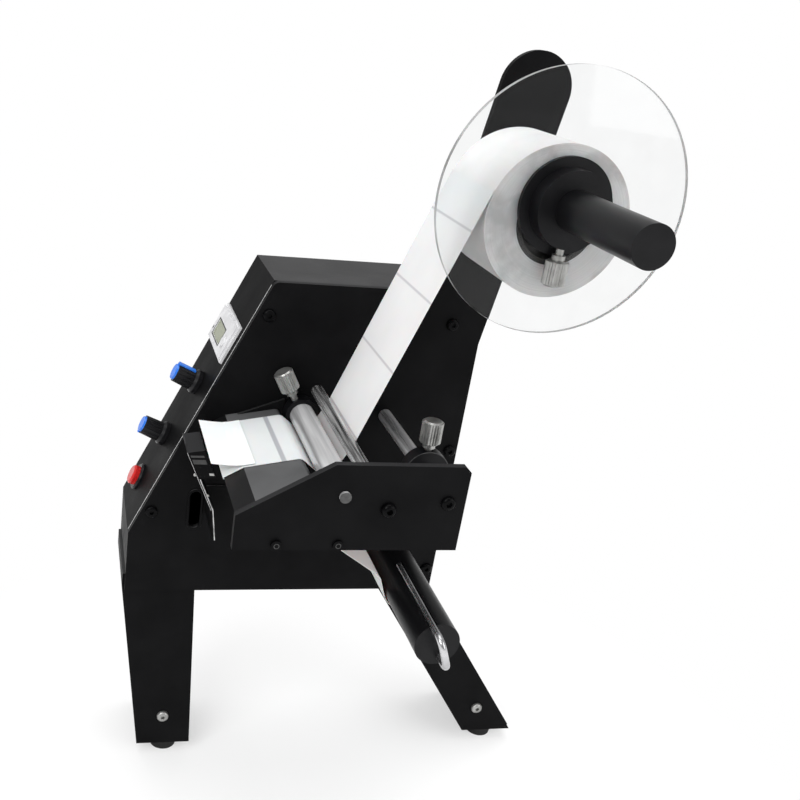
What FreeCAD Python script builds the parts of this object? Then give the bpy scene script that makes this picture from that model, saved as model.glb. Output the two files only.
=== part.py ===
# Bench label dispenser: a sheet metal control box on two bent legs, an arm with a label roll on its
# spindle, a peel deck between the main plate and a cheek, and a driven mandrel that rewinds the liner.
# Millimetres. Plate coordinates: x along the main plate from its front edge, y into the box from the
# plate's front face, z up from the plate's lower edge. Every node is shifted from there to the frame,
# whose origin is the bottom centre of the whole machine.
import FreeCAD, Part
import Sketcher
import math
import os

from FreeCAD import Placement, Rotation, Vector

# Driving sizes

SIZES = {
    # main plate and arm
    "plate_width": (200.0, "main plate, front edge to rear edge"),
    "plate_height": (201.5, "main plate, lower edge to top edge"),
    "plate_sheet": (4.0, "thickness of the main plate and the cheek"),
    "front_height": (41.0, "height of the plate's upright front edge"),
    "slant_angle": (65.45, "slope of the control panel"),
    "arm_lean": (9.3, "lean of the arm from upright"),
    "arm_radius": (20.0, "half width and end radius of the arm"),
    "arm_kink": (171.0, "height where the arm's rear edge starts to lean"),
    "arm_tip": (335.3, "height of the arm's tip"),
    "corner_round": (4.0, "rounding of the plate's top front corner"),
    "cable_hole_x": (39.4, "sensor cable hole, along the plate"),
    "cable_hole_z": (58.0, "sensor cable hole, height"),
    "cable_hole_wide": (8.0, "sensor cable hole, width"),
    "cable_hole_tall": (26.0, "sensor cable hole, end to end"),
    # bolts through the main plate and the far panel
    "panel_bolt_gap": (7.157, "upper front bolt behind the panel, along the plate"),
    "top_bolt_drop": (19.2, "upper front bolt under the plate's top edge"),
    "arm_bolt_in": (18.5, "bolt under the arm, in from the plate's rear edge"),
    "arm_bolt_drop": (19.1, "bolt under the arm, down from the plate's top edge"),
    "front_bolt_x": (13.2, "front bolt along the plate"),
    "front_bolt_rise": (15.3, "front bolt over the upright front edge"),
    "rear_bolt_in": (5.0, "middle rear bolt in from the plate's rear edge"),
    "rear_bolt_drop": (100.5, "middle rear bolt under the plate's top edge"),
    "low_bolt_in": (4.9, "lower rear bolt in from the plate's rear edge"),
    "low_bolt_z": (15.7, "lower rear bolt, height"),
    "far_bolt_in": (10.0, "far panel's rear bolts in from the rear edge"),
    "far_bolt_drop": (11.5, "far panel's upper rear bolt under the top edge"),
    "far_bolt_rise": (4.0, "far panel's front bolt over the upright front edge"),
    # box
    "box_depth": (61.0, "main plate's front face to the box's far face"),
    "box_sheet": (1.5, "sheet of the box and the legs"),
    # legs
    "leg_height": (125.0, "plate's lower edge to the legs' underside"),
    "foot_height": (8.5, "rubber foot under a leg"),
    "foot_radius": (10.0, "rubber foot"),
    "front_toe": (15.8, "front leg's front edge at the floor"),
    "front_top": (44.3, "front leg's rear edge at the plate"),
    "front_heel": (50.0, "front leg's rear edge at the floor"),
    "web_lap": (10.0, "front leg's web up over the box"),
    "rear_top": (165.0, "rear leg's front edge at the plate"),
    "rear_toe": (250.0, "rear leg's front edge at the floor"),
    "rear_heel": (287.0, "rear leg's rear edge at the floor"),
    "leg_rise": (70.0, "leg flanges up inside the box"),
    "front_tie_x": (30.6, "front tie bar along the plate"),
    "front_tie_drop": (102.0, "front tie bar under the plate's lower edge"),
    "rear_tie_x": (257.0, "rear tie bar along the plate"),
    "rear_tie_drop": (104.5, "rear tie bar under the plate's lower edge"),
    "tie_bar_radius": (4.0, "tie bar between a leg's flanges"),
    "front_foot_x": (33.5, "front feet along the plate"),
    "rear_foot_x": (268.0, "rear feet along the plate"),
    "near_foot_y": (16.0, "near feet from the plate's face"),
    "far_foot_y": (45.0, "far feet from the plate's face"),
    # spindle, roll and retainer
    "spindle_z": (267.8, "spindle axis height"),
    "spindle_radius": (10.0, "spindle"),
    "spindle_length": (156.0, "spindle, from the arm to its free end"),
    "stud_radius": (5.0, "stud and shaft through the main plate"),
    "roll_radius": (38.0, "label roll outside"),
    "core_bore": (19.0, "bore radius of the roll's core"),
    "core_wall": (2.5, "wall of the roll's core"),
    "web_start": (12.0, "liner's inner edge from the plate"),
    "web_width": (58.0, "liner width"),
    "disc_radius": (65.0, "clear retaining disc"),
    "disc_sheet": (3.0, "thickness of the clear disc"),
    "hub_radius": (19.0, "retainer's hub"),
    "hub_width": (12.4, "retainer's hub in front of the disc"),
    "hub_flange": (24.0, "hub's flange against the disc"),
    "flange_width": (2.4, "thickness of the hub's flange"),
    # cheek
    "cheek_distance": (111.0, "main plate's front face to the cheek's outer face"),
    "cheek_front": (42.0, "cheek's front edge along the plate"),
    "cheek_back": (159.0, "cheek's rear edge along the plate"),
    "cheek_low": (96.0, "cheek's lower edge"),
    "cheek_nose": (115.3, "top of the cheek's upright front edge"),
    "cheek_top": (143.4, "cheek's top edge"),
    "cheek_slope_end": (89.2, "where the cheek's slope meets its top edge"),
    "cheek_chamfer": (3.0, "cheek's rear top corner"),
    # rods between the plate and the cheek
    "guide_x": (149.5, "guide rod"),
    "guide_z": (123.5, "guide rod"),
    "guide_radius": (4.0, "guide rod"),
    "turn_x": (105.6, "turning roller"),
    "turn_z": (137.8, "turning roller"),
    "turn_radius": (3.8, "turning roller"),
    "tie_x": (118.8, "tie rod"),
    "tie_z": (119.4, "tie rod"),
    "tie_radius": (3.5, "tie rod"),
    "bar_x": (95.5, "polished bar"),
    "bar_z": (126.3, "polished bar"),
    "bar_radius": (7.3, "polished bar"),
    "pin_radius": (3.0, "pin ends of the rods"),
    "lower_tie_x": (95.5, "lower tie rod"),
    "pinch_x": (63.8, "pinch roller"),
    "pinch_z": (99.2, "pinch roller and lower tie rod"),
    "pinch_radius": (3.5, "pinch roller"),
    "drive_x": (67.0, "liner roller above the pinch roller"),
    "drive_radius": (7.0, "liner roller above the pinch roller"),
    "journal_radius": (2.0, "journals of the rollers"),
    "journal_depth": (2.5, "journals into the plate and the cheek"),
    # peel deck
    "fold_x": (52.2, "deck's fold along the plate"),
    "fold_z": (120.7, "deck's fold height"),
    "nose_x": (42.3, "deck's front edge along the plate"),
    "nose_z": (114.8, "deck's front edge height"),
    "deck_rear": (85.2, "deck's rear edge along the plate"),
    "deck_round": (4.0, "rounding of the deck's rear edge"),
    "deck_slope": (10.9, "slope of the deck's top"),
    "deck_sheet": (5.0, "thickness of the deck"),
    "upstand_height": (5.5, "deck's upstand against the main plate"),
    "upstand_sheet": (2.0, "thickness of the upstand"),
    # paper
    "liner_sheet": (0.3, "liner with its labels"),
    "paper_gap": (0.3, "air between the paper and what it runs over"),
    "label_tip": (35.0, "tip of the peeled label"),
    "label_rise": (0.6, "rise of the peeled label's tip over the fold"),
    # mandrel, pulleys and motor
    "stud_short": (17.0, "mandrel's stud, short of the box's far face"),
    "bend_ahead": (23.3, "liner's bend in front of the mandrel's axis"),
    "bend_above": (3.2, "liner's bend over the mandrel's axis"),
    "bend_radius": (7.5, "liner's bend"),
    "leave_behind": (30.0, "liner's last run, aimed behind the mandrel's axis"),
    "leave_above": (14.0, "liner's last run, aimed over the mandrel's axis"),
    "mandrel_x": (154.3, "rewind mandrel"),
    "mandrel_z": (45.8, "rewind mandrel"),
    "mandrel_radius": (12.5, "rewind mandrel"),
    "mandrel_end": (122.6, "rewind mandrel's free end from the plate"),
    "mandrel_gap": (1.0, "plate to the mandrel's shoulder"),
    "clip_turn": (20.0, "lean of the clip's outer leg from upright"),
    "clip_radius": (2.0, "wire of the mandrel's clip"),
    "clip_seat": (11.0, "clip's outer leg from the mandrel's axis"),
    "clip_inner": (8.5, "clip's inner leg from the mandrel's axis"),
    "clip_start": (62.0, "clip's outer leg starts this far from the plate"),
    "clip_out": (12.0, "clip's bend in front of the mandrel"),
    "clip_hole": (30.0, "depth of the hole for the clip's inner leg"),
    "pulley_radius": (12.0, "belt pulleys"),
    "pulley_width": (8.0, "belt pulleys"),
    "pulley_place": (18.0, "pulleys' near face from the plate's front face"),
    "belt_sheet": (1.6, "belt"),
    "motor_x": (110.0, "motor axis along the plate"),
    "motor_z": (95.0, "motor axis height"),
    "motor_radius": (25.0, "motor body"),
    "motor_place": (28.0, "motor's flange from the plate's front face"),
    "motor_length": (29.0, "motor body"),
    "motor_shaft": (3.0, "motor shaft"),
    "bearing_radius": (10.2, "mandrel's bearing block"),
    "bearing_width": (11.0, "mandrel's bearing block"),
    "core_x": (84.0, "transformer along the plate"),
    "core_y": (35.0, "transformer across the box"),
    "core_long": (50.0, "transformer along the plate"),
    "core_deep": (42.0, "transformer across the box"),
    "core_tall": (41.0, "transformer height"),
    # collars and thumb screws
    "guide_collar_radius": (12.5, "collar on the guide rod"),
    "guide_collar_place": (74.0, "middle of the guide rod's collar from the plate"),
    "bar_collar_radius": (9.8, "collar on the polished bar"),
    "bar_collar_place": (7.0, "middle of the polished bar's collar from the plate"),
    "bar_collar_lean": (28.7, "lean of that collar's thumb screw"),
    "bar_screw_stand": (6.2, "polished bar's collar to its screw's head"),
    "collar_width": (8.0, "collars along their rods"),
    "thumb_radius": (5.75, "thumb screw heads"),
    "thumb_length": (13.0, "thumb screw heads, length"),
    "thumb_stand": (3.6, "collar to its screw's head"),
    "thumb_shoulder": (2.4, "shoulder under the thumb screw heads"),
    "thumb_shank": (2.0, "thumb screw shanks"),
    # control panel, along the slope from its lower corner
    "counter_s": (130.0, "counter's middle along the slope"),
    "counter_y": (34.5, "counter's middle across the panel"),
    "counter_long": (48.0, "counter's bezel across the panel"),
    "counter_wide": (24.5, "counter's bezel along the slope"),
    "counter_rise": (3.0, "counter's bezel above the panel"),
    "counter_deep": (16.0, "counter's case behind the panel"),
    "window_s": (128.0, "counter's window along the slope"),
    "window_y": (39.0, "counter's window across the panel"),
    "window_long": (24.0, "counter's window across the panel"),
    "window_wide": (10.0, "counter's window along the slope"),
    "reset_s": (128.0, "counter's reset button along the slope"),
    "reset_y": (19.5, "counter's reset button across the panel"),
    "reset_radius": (3.2, "counter's reset button"),
    "upper_knob_s": (95.3, "upper knob along the slope"),
    "upper_knob_y": (32.0, "upper knob across the panel"),
    "lower_knob_s": (54.7, "lower knob along the slope"),
    "lower_knob_y": (36.7, "lower knob across the panel"),
    "knob_radius": (6.25, "knob body"),
    "knob_skirt": (7.5, "knob skirt"),
    "knob_height": (17.0, "knob"),
    "pointer_wide": (1.8, "knob's pointer, width"),
    "pointer_deep": (0.8, "knob's pointer, depth"),
    "button_s": (20.0, "push button along the slope"),
    "button_y": (40.0, "push button across the panel"),
    "button_radius": (6.2, "push button's cap"),
    "button_collar": (8.6, "push button's collar"),
    "button_rise": (6.0, "push button's cap above the panel"),
    # sensor
    "sensor_low": (101.0, "sensor's lower edge"),
    "sensor_wide": (9.0, "sensor along the plate"),
    "sensor_tall": (16.0, "sensor height"),
    "sensor_start": (20.0, "sensor's inner end from the plate"),
    "sensor_long": (25.0, "sensor across the web"),
    "bracket_start": (6.0, "sensor bracket's inner edge from the plate"),
    "bracket_wide": (26.0, "sensor bracket"),
    "bracket_top_x": (27.2, "sensor bracket's upper edge along the plate"),
    "bracket_top_z": (111.0, "sensor bracket's upper edge height"),
    "bracket_knee_x": (43.6, "sensor bracket's bend along the plate"),
    "bracket_knee_z": (74.7, "sensor bracket's bend height"),
    "bracket_low_x": (46.2, "sensor bracket's lower edge along the plate"),
    "bracket_low_z": (55.0, "sensor bracket's lower edge height"),
    "bracket_sheet": (1.6, "sheet of the sensor bracket"),
    # power inlet in the rear wall
    "inlet_y": (32.0, "inlet's middle across the box"),
    "inlet_z": (45.0, "inlet's middle height"),
    "inlet_wide": (28.0, "inlet's flange across the box"),
    "inlet_tall": (48.0, "inlet's flange height"),
    # fasteners and fits
    "bolt_radius": (2.0, "bolt shanks"),
    "bolt_head": (3.8, "bolts' button heads"),
    "head_height": (2.2, "bolts' button heads"),
    "small_head": (2.85, "small screws' heads"),
    "fit_gap": (0.05, "running clearance, radial"),
    "hole_gap": (0.2, "clearance round fixed screws, radial"),
    "side_gap": (0.3, "clearance beside moving pieces"),
}


class Measure:
    """A size that knows its number and its spreadsheet expression."""

    def __init__(self, number, text):
        self.number = float(number)
        self.text = text

    def __add__(self, other):
        other = measure(other)
        return Measure(self.number + other.number, f"({self.text} + {other.text})")

    def __sub__(self, other):
        other = measure(other)
        return Measure(self.number - other.number, f"({self.text} - {other.text})")

    def __mul__(self, other):
        other = measure(other)
        return Measure(self.number * other.number, f"({self.text} * {other.text})")

    def __truediv__(self, other):
        other = measure(other)
        return Measure(self.number / other.number, f"({self.text} / {other.text})")

    def __neg__(self):
        return Measure(-self.number, f"(0 - {self.text})")

    def __rsub__(self, other):
        return measure(other) - self

    __radd__ = __add__
    __rmul__ = __mul__


def measure(value):
    """A plain number as a measure."""
    return value if isinstance(value, Measure) else Measure(value, f"({float(value)})")


def sine(angle):
    return Measure(math.sin(math.radians(angle.number)), f"sin({angle.text} * 1 deg)")


def cosine(angle):
    return Measure(math.cos(math.radians(angle.number)), f"cos({angle.text} * 1 deg)")


def tangent(angle):
    return sine(angle) / cosine(angle)


document = FreeCAD.newDocument("LabelDispenser")
sheet = document.addObject("Spreadsheet::Sheet", "Sizes")
S = {}
for row, (alias, (number, note)) in enumerate(SIZES.items(), start=1):
    sheet.set(f"A{row}", alias)
    sheet.set(f"B{row}", str(number))
    sheet.set(f"C{row}", note)
    sheet.setAlias(f"B{row}", alias)
    S[alias] = Measure(number, f"Sizes.{alias}")
document.recompute()

# Derived sizes

LEAN_RUN = tangent(S["arm_lean"])
SLANT_RUN = (S["plate_height"] - S["front_height"]) / tangent(S["slant_angle"])
TIP_Z = S["arm_tip"] - S["arm_radius"]
TIP_X = S["plate_width"] + (TIP_Z - S["arm_kink"]) * LEAN_RUN - S["arm_radius"] / cosine(S["arm_lean"])
SPINDLE_X = TIP_X - (TIP_Z - S["spindle_z"]) * LEAN_RUN
ROLL_Z = S["spindle_z"] - (S["core_bore"] - S["spindle_radius"] - S["paper_gap"])
FAR_SHEET = S["box_depth"] - S["box_sheet"]
CHEEK_INNER = S["cheek_distance"] - S["plate_sheet"]
DRIVE_Z = S["pinch_z"] + S["pinch_radius"] + S["paper_gap"] * 2 + S["liner_sheet"] + S["drive_radius"]
DECK_REAR_Z = S["fold_z"] + (S["deck_rear"] - S["fold_x"]) * tangent(S["deck_slope"])
DISC_PLACE = S["web_start"] + S["web_width"] + S["side_gap"]

SHIFT_X = (S["box_sheet"] - S["rear_heel"]) / 2
SHIFT_Y = (S["spindle_length"] - S["box_depth"] - S["head_height"]) / 2
SHIFT_Z = S["leg_height"] + S["foot_height"]

NODES = []


def place(item, x=0.0, y=0.0, z=0.0, axis=None, angle=None):
    """Sets an item in the frame at plate coordinates, turned by an angle round an axis."""
    base = [measure(x) + SHIFT_X, measure(y) + SHIFT_Y, measure(z) + SHIFT_Z]
    if axis is not None:
        angle = measure(angle)
        item.Placement = Placement(Vector(0, 0, 0), Rotation(Vector(*axis), angle.number))
        item.setExpression("Placement.Rotation.Angle", angle.text)
    for letter, value in zip("xyz", base):
        item.setExpression(f"Placement.Base.{letter}", value.text)


def polygon(points):
    """A closed outline of straight lines for a sketch, each corner held by two distances."""
    points = [(measure(a), measure(b)) for a, b in points]

    def draw(sketch):
        first = sketch.GeometryCount
        corners = [Vector(a.number, b.number, 0) for a, b in points]
        following = corners[1:] + corners[:1]
        sketch.addGeometry([Part.LineSegment(a, b) for a, b in zip(corners, following)], False)
        for index in range(len(points)):
            after = first + (index + 1) % len(points)
            sketch.addConstraint(Sketcher.Constraint("Coincident", first + index, 2, after, 1))
        for index, pair in enumerate(points):
            for kind, value in zip(("DistanceX", "DistanceY"), pair):
                place_in = Sketcher.Constraint(kind, -1, 1, first + index, 1, value.number)
                number = sketch.addConstraint(place_in)
                sketch.setExpression(f"Constraints[{number}]", value.text)

    return draw


def circle(a, b, radius):
    """A circle for a sketch, its centre and radius held by sizes."""
    a, b, radius = measure(a), measure(b), measure(radius)

    def draw(sketch):
        centre = Vector(a.number, b.number, 0)
        index = sketch.addGeometry(Part.Circle(centre, Vector(0, 0, 1), radius.number), False)
        for kind, value in (("DistanceX", a), ("DistanceY", b)):
            number = sketch.addConstraint(Sketcher.Constraint(kind, -1, 1, index, 3, value.number))
            sketch.setExpression(f"Constraints[{number}]", value.text)
        number = sketch.addConstraint(Sketcher.Constraint("Radius", index, radius.number))
        sketch.setExpression(f"Constraints[{number}]", radius.text)

    return draw


def rectangle(a, b, wide, tall):
    """An outline round a middle point."""
    a, b, wide, tall = measure(a), measure(b), measure(wide), measure(tall)
    left, right, low, high = a - wide / 2, a + wide / 2, b - tall / 2, b + tall / 2
    return polygon([(left, low), (right, low), (right, high), (left, high)])


class Piece:
    """A body whose steps are drawn on planes across its y axis, or across its z axis."""

    def __init__(self, label, x=0.0, y=0.0, z=0.0, axis=None, angle=None):
        self.body = document.addObject("PartDesign::Body", label)
        self.body.Label = label
        self.planes = {item.Role: item for item in self.body.Origin.OriginFeatures}
        self.steps = 0
        if hasattr(self.body, "AllowCompound"):
            self.body.AllowCompound = True
        place(self.body, x, y, z, axis, angle)
        NODES.append(self.body)

    def sketch(self, plane, height, drawings, tilt=None, rise=None):
        self.steps += 1
        sketch = self.body.newObject("Sketcher::SketchObject", f"{self.body.Name}_sketch{self.steps}")
        sketch.AttachmentSupport = [(self.planes[plane], "")]
        sketch.MapMode = "FlatFace"
        height = measure(height)
        turn = Rotation(Vector(1, 0, 0), tilt.number) if tilt is not None else Rotation()
        sketch.AttachmentOffset = Placement(Vector(0, 0, height.number), turn)
        sketch.setExpression("AttachmentOffset.Base.z", height.text)
        if tilt is not None:
            sketch.setExpression("AttachmentOffset.Rotation.Angle", tilt.text)
            sketch.setExpression("AttachmentOffset.Base.y", rise.text)
        for drawing in drawings:
            drawing(sketch)
        return sketch

    def step(self, kind, sketch, length, reverse=False):
        feature = self.body.newObject(f"PartDesign::{kind}", f"{self.body.Name}_{kind.lower()}{self.steps}")
        feature.Profile = sketch
        length = measure(length)
        feature.Length = length.number
        feature.setExpression("Length", length.text)
        feature.Reversed = reverse
        sketch.Visibility = False
        return feature

    def pad(self, near, far, *drawings):
        """Material from y = near to y = far."""
        near, far = measure(near), measure(far)
        return self.step("Pad", self.sketch("XZ_Plane", -far, drawings), far - near)

    def cut(self, near, far, *drawings):
        """A cut from y = near to y = far."""
        near, far = measure(near), measure(far)
        return self.step("Pocket", self.sketch("XZ_Plane", -near, drawings), far - near)

    def raise_up(self, low, high, *drawings):
        """Material from z = low to z = high."""
        low, high = measure(low), measure(high)
        return self.step("Pad", self.sketch("XY_Plane", low, drawings), high - low)

    def sink(self, low, high, *drawings):
        """A cut from z = high down to z = low."""
        low, high = measure(low), measure(high)
        return self.step("Pocket", self.sketch("XY_Plane", high, drawings), high - low)

    def turned(self, points):
        """Material turned round z from an outline of (radius, height) points."""
        sketch = self.sketch("XZ_Plane", 0.0, [polygon(points)])
        feature = self.body.newObject("PartDesign::Revolution", f"{self.body.Name}_turn{self.steps}")
        feature.Profile = sketch
        feature.ReferenceAxis = (sketch, ["V_Axis"])
        feature.Angle = 360.0
        sketch.Visibility = False
        return feature

    def repeat(self, feature, count):
        """Repeats a step round z."""
        pattern = self.body.newObject("PartDesign::PolarPattern", f"{self.body.Name}_ring{self.steps}")
        pattern.Originals = [feature]
        pattern.Axis = (feature.Profile[0], ["N_Axis"])
        pattern.Angle = 360.0
        pattern.Occurrences = count
        self.body.Tip = pattern
        return pattern

    def round_edges(self, radius, *points):
        """Rounds the edges along y that pass the given (x, z) points."""
        document.recompute()
        radius = measure(radius)
        tip = self.body.Tip
        names = []
        for number, edge in enumerate(tip.Shape.Edges, start=1):
            middle = edge.BoundBox.Center
            along = edge.BoundBox.YLength > 0.9 * edge.Length
            if along and any(math.hypot(middle.x - a, middle.z - b) < 0.05 for a, b in points):
                names.append(f"Edge{number}")
        fillet = self.body.newObject("PartDesign::Fillet", f"{self.body.Name}_round{self.steps}")
        fillet.Base = (tip, names)
        fillet.Radius = radius.number
        fillet.setExpression("Radius", radius.text)
        return fillet


def plain(label, shape, x=0.0, y=0.0, z=0.0, axis=None, angle=None):
    """A node from a finished shape."""
    item = document.addObject("Part::Feature", label)
    item.Label = label
    item.Shape = shape
    place(item, x, y, z, axis, angle)
    NODES.append(item)
    return item


def number_of(value):
    return measure(value).number


# Main plate and box

TOP_BOLT_Z = S["plate_height"] - S["top_bolt_drop"]
PLATE_BOLTS = [
    (S["panel_bolt_gap"] + (TOP_BOLT_Z - S["front_height"]) / tangent(S["slant_angle"]), TOP_BOLT_Z),
    (S["plate_width"] - S["arm_bolt_in"], S["plate_height"] - S["arm_bolt_drop"]),
    (S["front_bolt_x"], S["front_height"] + S["front_bolt_rise"]),
    (S["plate_width"] - S["rear_bolt_in"], S["plate_height"] - S["rear_bolt_drop"]),
    (S["plate_width"] - S["low_bolt_in"], S["low_bolt_z"]),
]
FAR_BOLTS = [
    PLATE_BOLTS[0],
    (S["plate_width"] - S["far_bolt_in"], S["plate_height"] - S["far_bolt_drop"]),
    (S["front_bolt_x"], S["front_height"] + S["far_bolt_rise"]),
    (S["plate_width"] - S["far_bolt_in"], S["plate_height"] - S["rear_bolt_drop"]),
    (S["plate_width"] - S["far_bolt_in"], S["low_bolt_z"]),
]


def box_outline():
    return [
        (0.0, 0.0),
        (0.0, S["front_height"]),
        (SLANT_RUN, S["plate_height"]),
        (S["plate_width"], S["plate_height"]),
        (S["plate_width"], 0.0),
    ]


def make_main_plate():
    piece = Piece("main_plate")
    lean, radius = S["arm_lean"], S["arm_radius"]
    foot = S["plate_width"] + (S["plate_height"] - S["arm_kink"]) * LEAN_RUN - radius * 2 / cosine(lean)
    outline = [
        (0.0, 0.0),
        (0.0, S["front_height"]),
        (SLANT_RUN, S["plate_height"]),
        (foot, S["plate_height"]),
        (TIP_X - radius * cosine(lean), TIP_Z + radius * sine(lean)),
        (TIP_X + radius * cosine(lean), TIP_Z - radius * sine(lean)),
        (S["plate_width"], S["arm_kink"]),
        (S["plate_width"], 0.0),
    ]
    sheet_ends = (0.0, S["plate_sheet"])
    piece.pad(*sheet_ends, polygon(outline))
    piece.pad(*sheet_ends, circle(TIP_X, TIP_Z, radius))
    bolt = S["bolt_radius"] + S["hole_gap"]
    piece.cut(*sheet_ends, *[circle(x, z, bolt) for x, z in PLATE_BOLTS])
    rise = (S["cable_hole_tall"] - S["cable_hole_wide"]) / 2
    half = S["cable_hole_wide"] / 2
    hole_x, hole_z = S["cable_hole_x"], S["cable_hole_z"]
    piece.cut(*sheet_ends, rectangle(hole_x, hole_z, S["cable_hole_wide"], rise * 2))
    piece.cut(*sheet_ends, circle(hole_x, hole_z + rise, half))
    piece.cut(*sheet_ends, circle(hole_x, hole_z - rise, half))
    stud = S["stud_radius"] + S["fit_gap"]
    pin = S["pin_radius"] + S["fit_gap"]
    piece.cut(
        *sheet_ends,
        circle(SPINDLE_X, S["spindle_z"], stud),
        circle(S["mandrel_x"], S["mandrel_z"], stud),
        circle(S["guide_x"], S["guide_z"], pin),
        circle(S["tie_x"], S["tie_z"], pin),
        circle(S["bar_x"], S["bar_z"], pin),
    )
    journal = S["journal_radius"] + S["fit_gap"]
    piece.cut(
        0.0,
        S["journal_depth"] + S["side_gap"],
        circle(S["turn_x"], S["turn_z"], journal),
        circle(S["pinch_x"], S["pinch_z"], journal),
        circle(S["lower_tie_x"], S["pinch_z"], journal),
        circle(S["drive_x"], DRIVE_Z, journal),
    )
    piece.round_edges(S["corner_round"], (SLANT_RUN.number, S["plate_height"].number))


def make_cover():
    piece = Piece("housing_cover")
    sheet_gauge = S["box_sheet"]
    corner_low = S["front_height"] - sheet_gauge * tangent((90.0 - S["slant_angle"]) / 2)
    corner_top = SLANT_RUN + sheet_gauge * tangent(S["slant_angle"] / 2)
    inner = [
        (S["plate_width"] - sheet_gauge, 0.0),
        (S["plate_width"] - sheet_gauge, S["plate_height"] - sheet_gauge),
        (corner_top, S["plate_height"] - sheet_gauge),
        (sheet_gauge, corner_low),
        (sheet_gauge, 0.0),
    ]
    piece.pad(S["plate_sheet"], FAR_SHEET, polygon(box_outline() + inner))
    tilt, rise = 90.0 - S["slant_angle"], S["front_height"]
    across = [
        rectangle(S["counter_y"], S["counter_s"], S["counter_long"] - 3, S["counter_wide"] - 3),
        circle(S["upper_knob_y"], S["upper_knob_s"], 3.5 + S["fit_gap"]),
        circle(S["lower_knob_y"], S["lower_knob_s"], 3.5 + S["fit_gap"]),
        circle(S["button_y"], S["button_s"], S["button_radius"] + 1 + S["fit_gap"]),
    ]
    sketch = piece.sketch("YZ_Plane", 0.0, across, tilt, rise)
    piece.step("Pocket", sketch, sheet_gauge + 1, reverse=True)
    inlet = [rectangle(S["inlet_y"], S["inlet_z"], S["inlet_wide"] - 3, S["inlet_tall"] - 3)]
    piece.step("Pocket", piece.sketch("YZ_Plane", S["plate_width"], inlet), sheet_gauge + 1)


def make_far_panel():
    piece = Piece("far_panel")
    piece.pad(FAR_SHEET, S["box_depth"], polygon(box_outline()))
    bolt = S["bolt_radius"] + S["hole_gap"]
    piece.cut(FAR_SHEET, S["box_depth"], *[circle(x, z, bolt) for x, z in FAR_BOLTS])


def make_bottom_plate():
    piece = Piece("bottom_plate")
    gauge = S["box_sheet"]
    corners = [(gauge, 0.0), (S["plate_width"] - gauge, 0.0), (S["plate_width"] - gauge, gauge), (gauge, gauge)]
    near = S["plate_sheet"] + gauge + 0.1
    piece.pad(near, FAR_SHEET - gauge - 0.1, polygon(corners))


# Legs and feet


def make_leg(label, side, rise_side, web, foot, tie, near_bolt, far_bolt):
    piece = Piece(label)
    gauge = S["box_sheet"]
    near, far = S["plate_sheet"], FAR_SHEET
    for start in (near, far - gauge):
        piece.pad(start, start + gauge, polygon(side))
        piece.pad(start, start + gauge, polygon(rise_side))
    piece.pad(near, far, polygon(web))
    piece.pad(near, far, polygon(foot))
    hole = S["bolt_radius"] + S["hole_gap"]
    piece.cut(near, far, circle(*tie, hole))
    piece.cut(near, near + gauge, circle(*near_bolt, hole))
    piece.cut(far - gauge, far, circle(*far_bolt, hole))


def make_legs():
    gauge, drop = S["box_sheet"], S["leg_height"]
    inside = gauge + 0.1
    side = [(0.0, 0.0), (S["front_toe"], -drop), (S["front_heel"], -drop), (S["front_top"], 0.0)]
    notch_x = S["cable_hole_x"] - S["cable_hole_wide"] / 2 - 5
    notch_z = S["cable_hole_z"] - S["cable_hole_tall"] / 2 - 5
    rise_side = [
        (inside, 0.0),
        (S["front_top"], 0.0),
        (S["front_top"], notch_z),
        (notch_x, notch_z),
        (notch_x, S["leg_rise"]),
        (inside + (S["leg_rise"] - S["front_height"] + 3) / tangent(S["slant_angle"]), S["leg_rise"]),
        (inside, S["front_height"] - 3),
    ]
    web = [
        (-gauge, S["web_lap"]),
        (0.0, S["web_lap"]),
        (0.0, 0.0),
        (S["front_toe"], -drop),
        (S["front_toe"] - gauge, -drop),
        (-gauge, 0.0),
    ]
    foot = [(S["front_toe"] - 1, gauge - drop), (S["front_toe"] - 1, -drop)]
    foot += [(S["front_heel"], -drop), (S["front_heel"], gauge - drop)]
    front, rear = tie_places()
    make_leg("front_leg", side, rise_side, web, foot, front, PLATE_BOLTS[2], FAR_BOLTS[2])
    back = S["plate_width"]
    side = [(S["rear_top"], 0.0), (S["rear_toe"], -drop), (S["rear_heel"] - 6, -drop)]
    side += [(S["rear_heel"] - 2, 4 - drop), (back, 0.0)]
    rise_side = [(S["rear_top"], 0.0), (back - inside, 0.0)]
    rise_side += [(back - inside, S["leg_rise"]), (S["rear_top"], S["leg_rise"])]
    slip = gauge * 1.22
    web = [(back, 0.0), (S["rear_heel"], -drop), (S["rear_heel"] - slip, -drop), (back - slip, 0.0)]
    foot = [(S["rear_toe"], gauge - drop), (S["rear_toe"], -drop)]
    foot += [(S["rear_heel"] - 1, -drop), (S["rear_heel"] - 2, gauge - drop)]
    make_leg("rear_leg", side, rise_side, web, foot, rear, PLATE_BOLTS[4], FAR_BOLTS[4])


def tie_places():
    front = (S["front_tie_x"], -S["front_tie_drop"])
    return [front, (S["rear_tie_x"], -S["rear_tie_drop"])]


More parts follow.
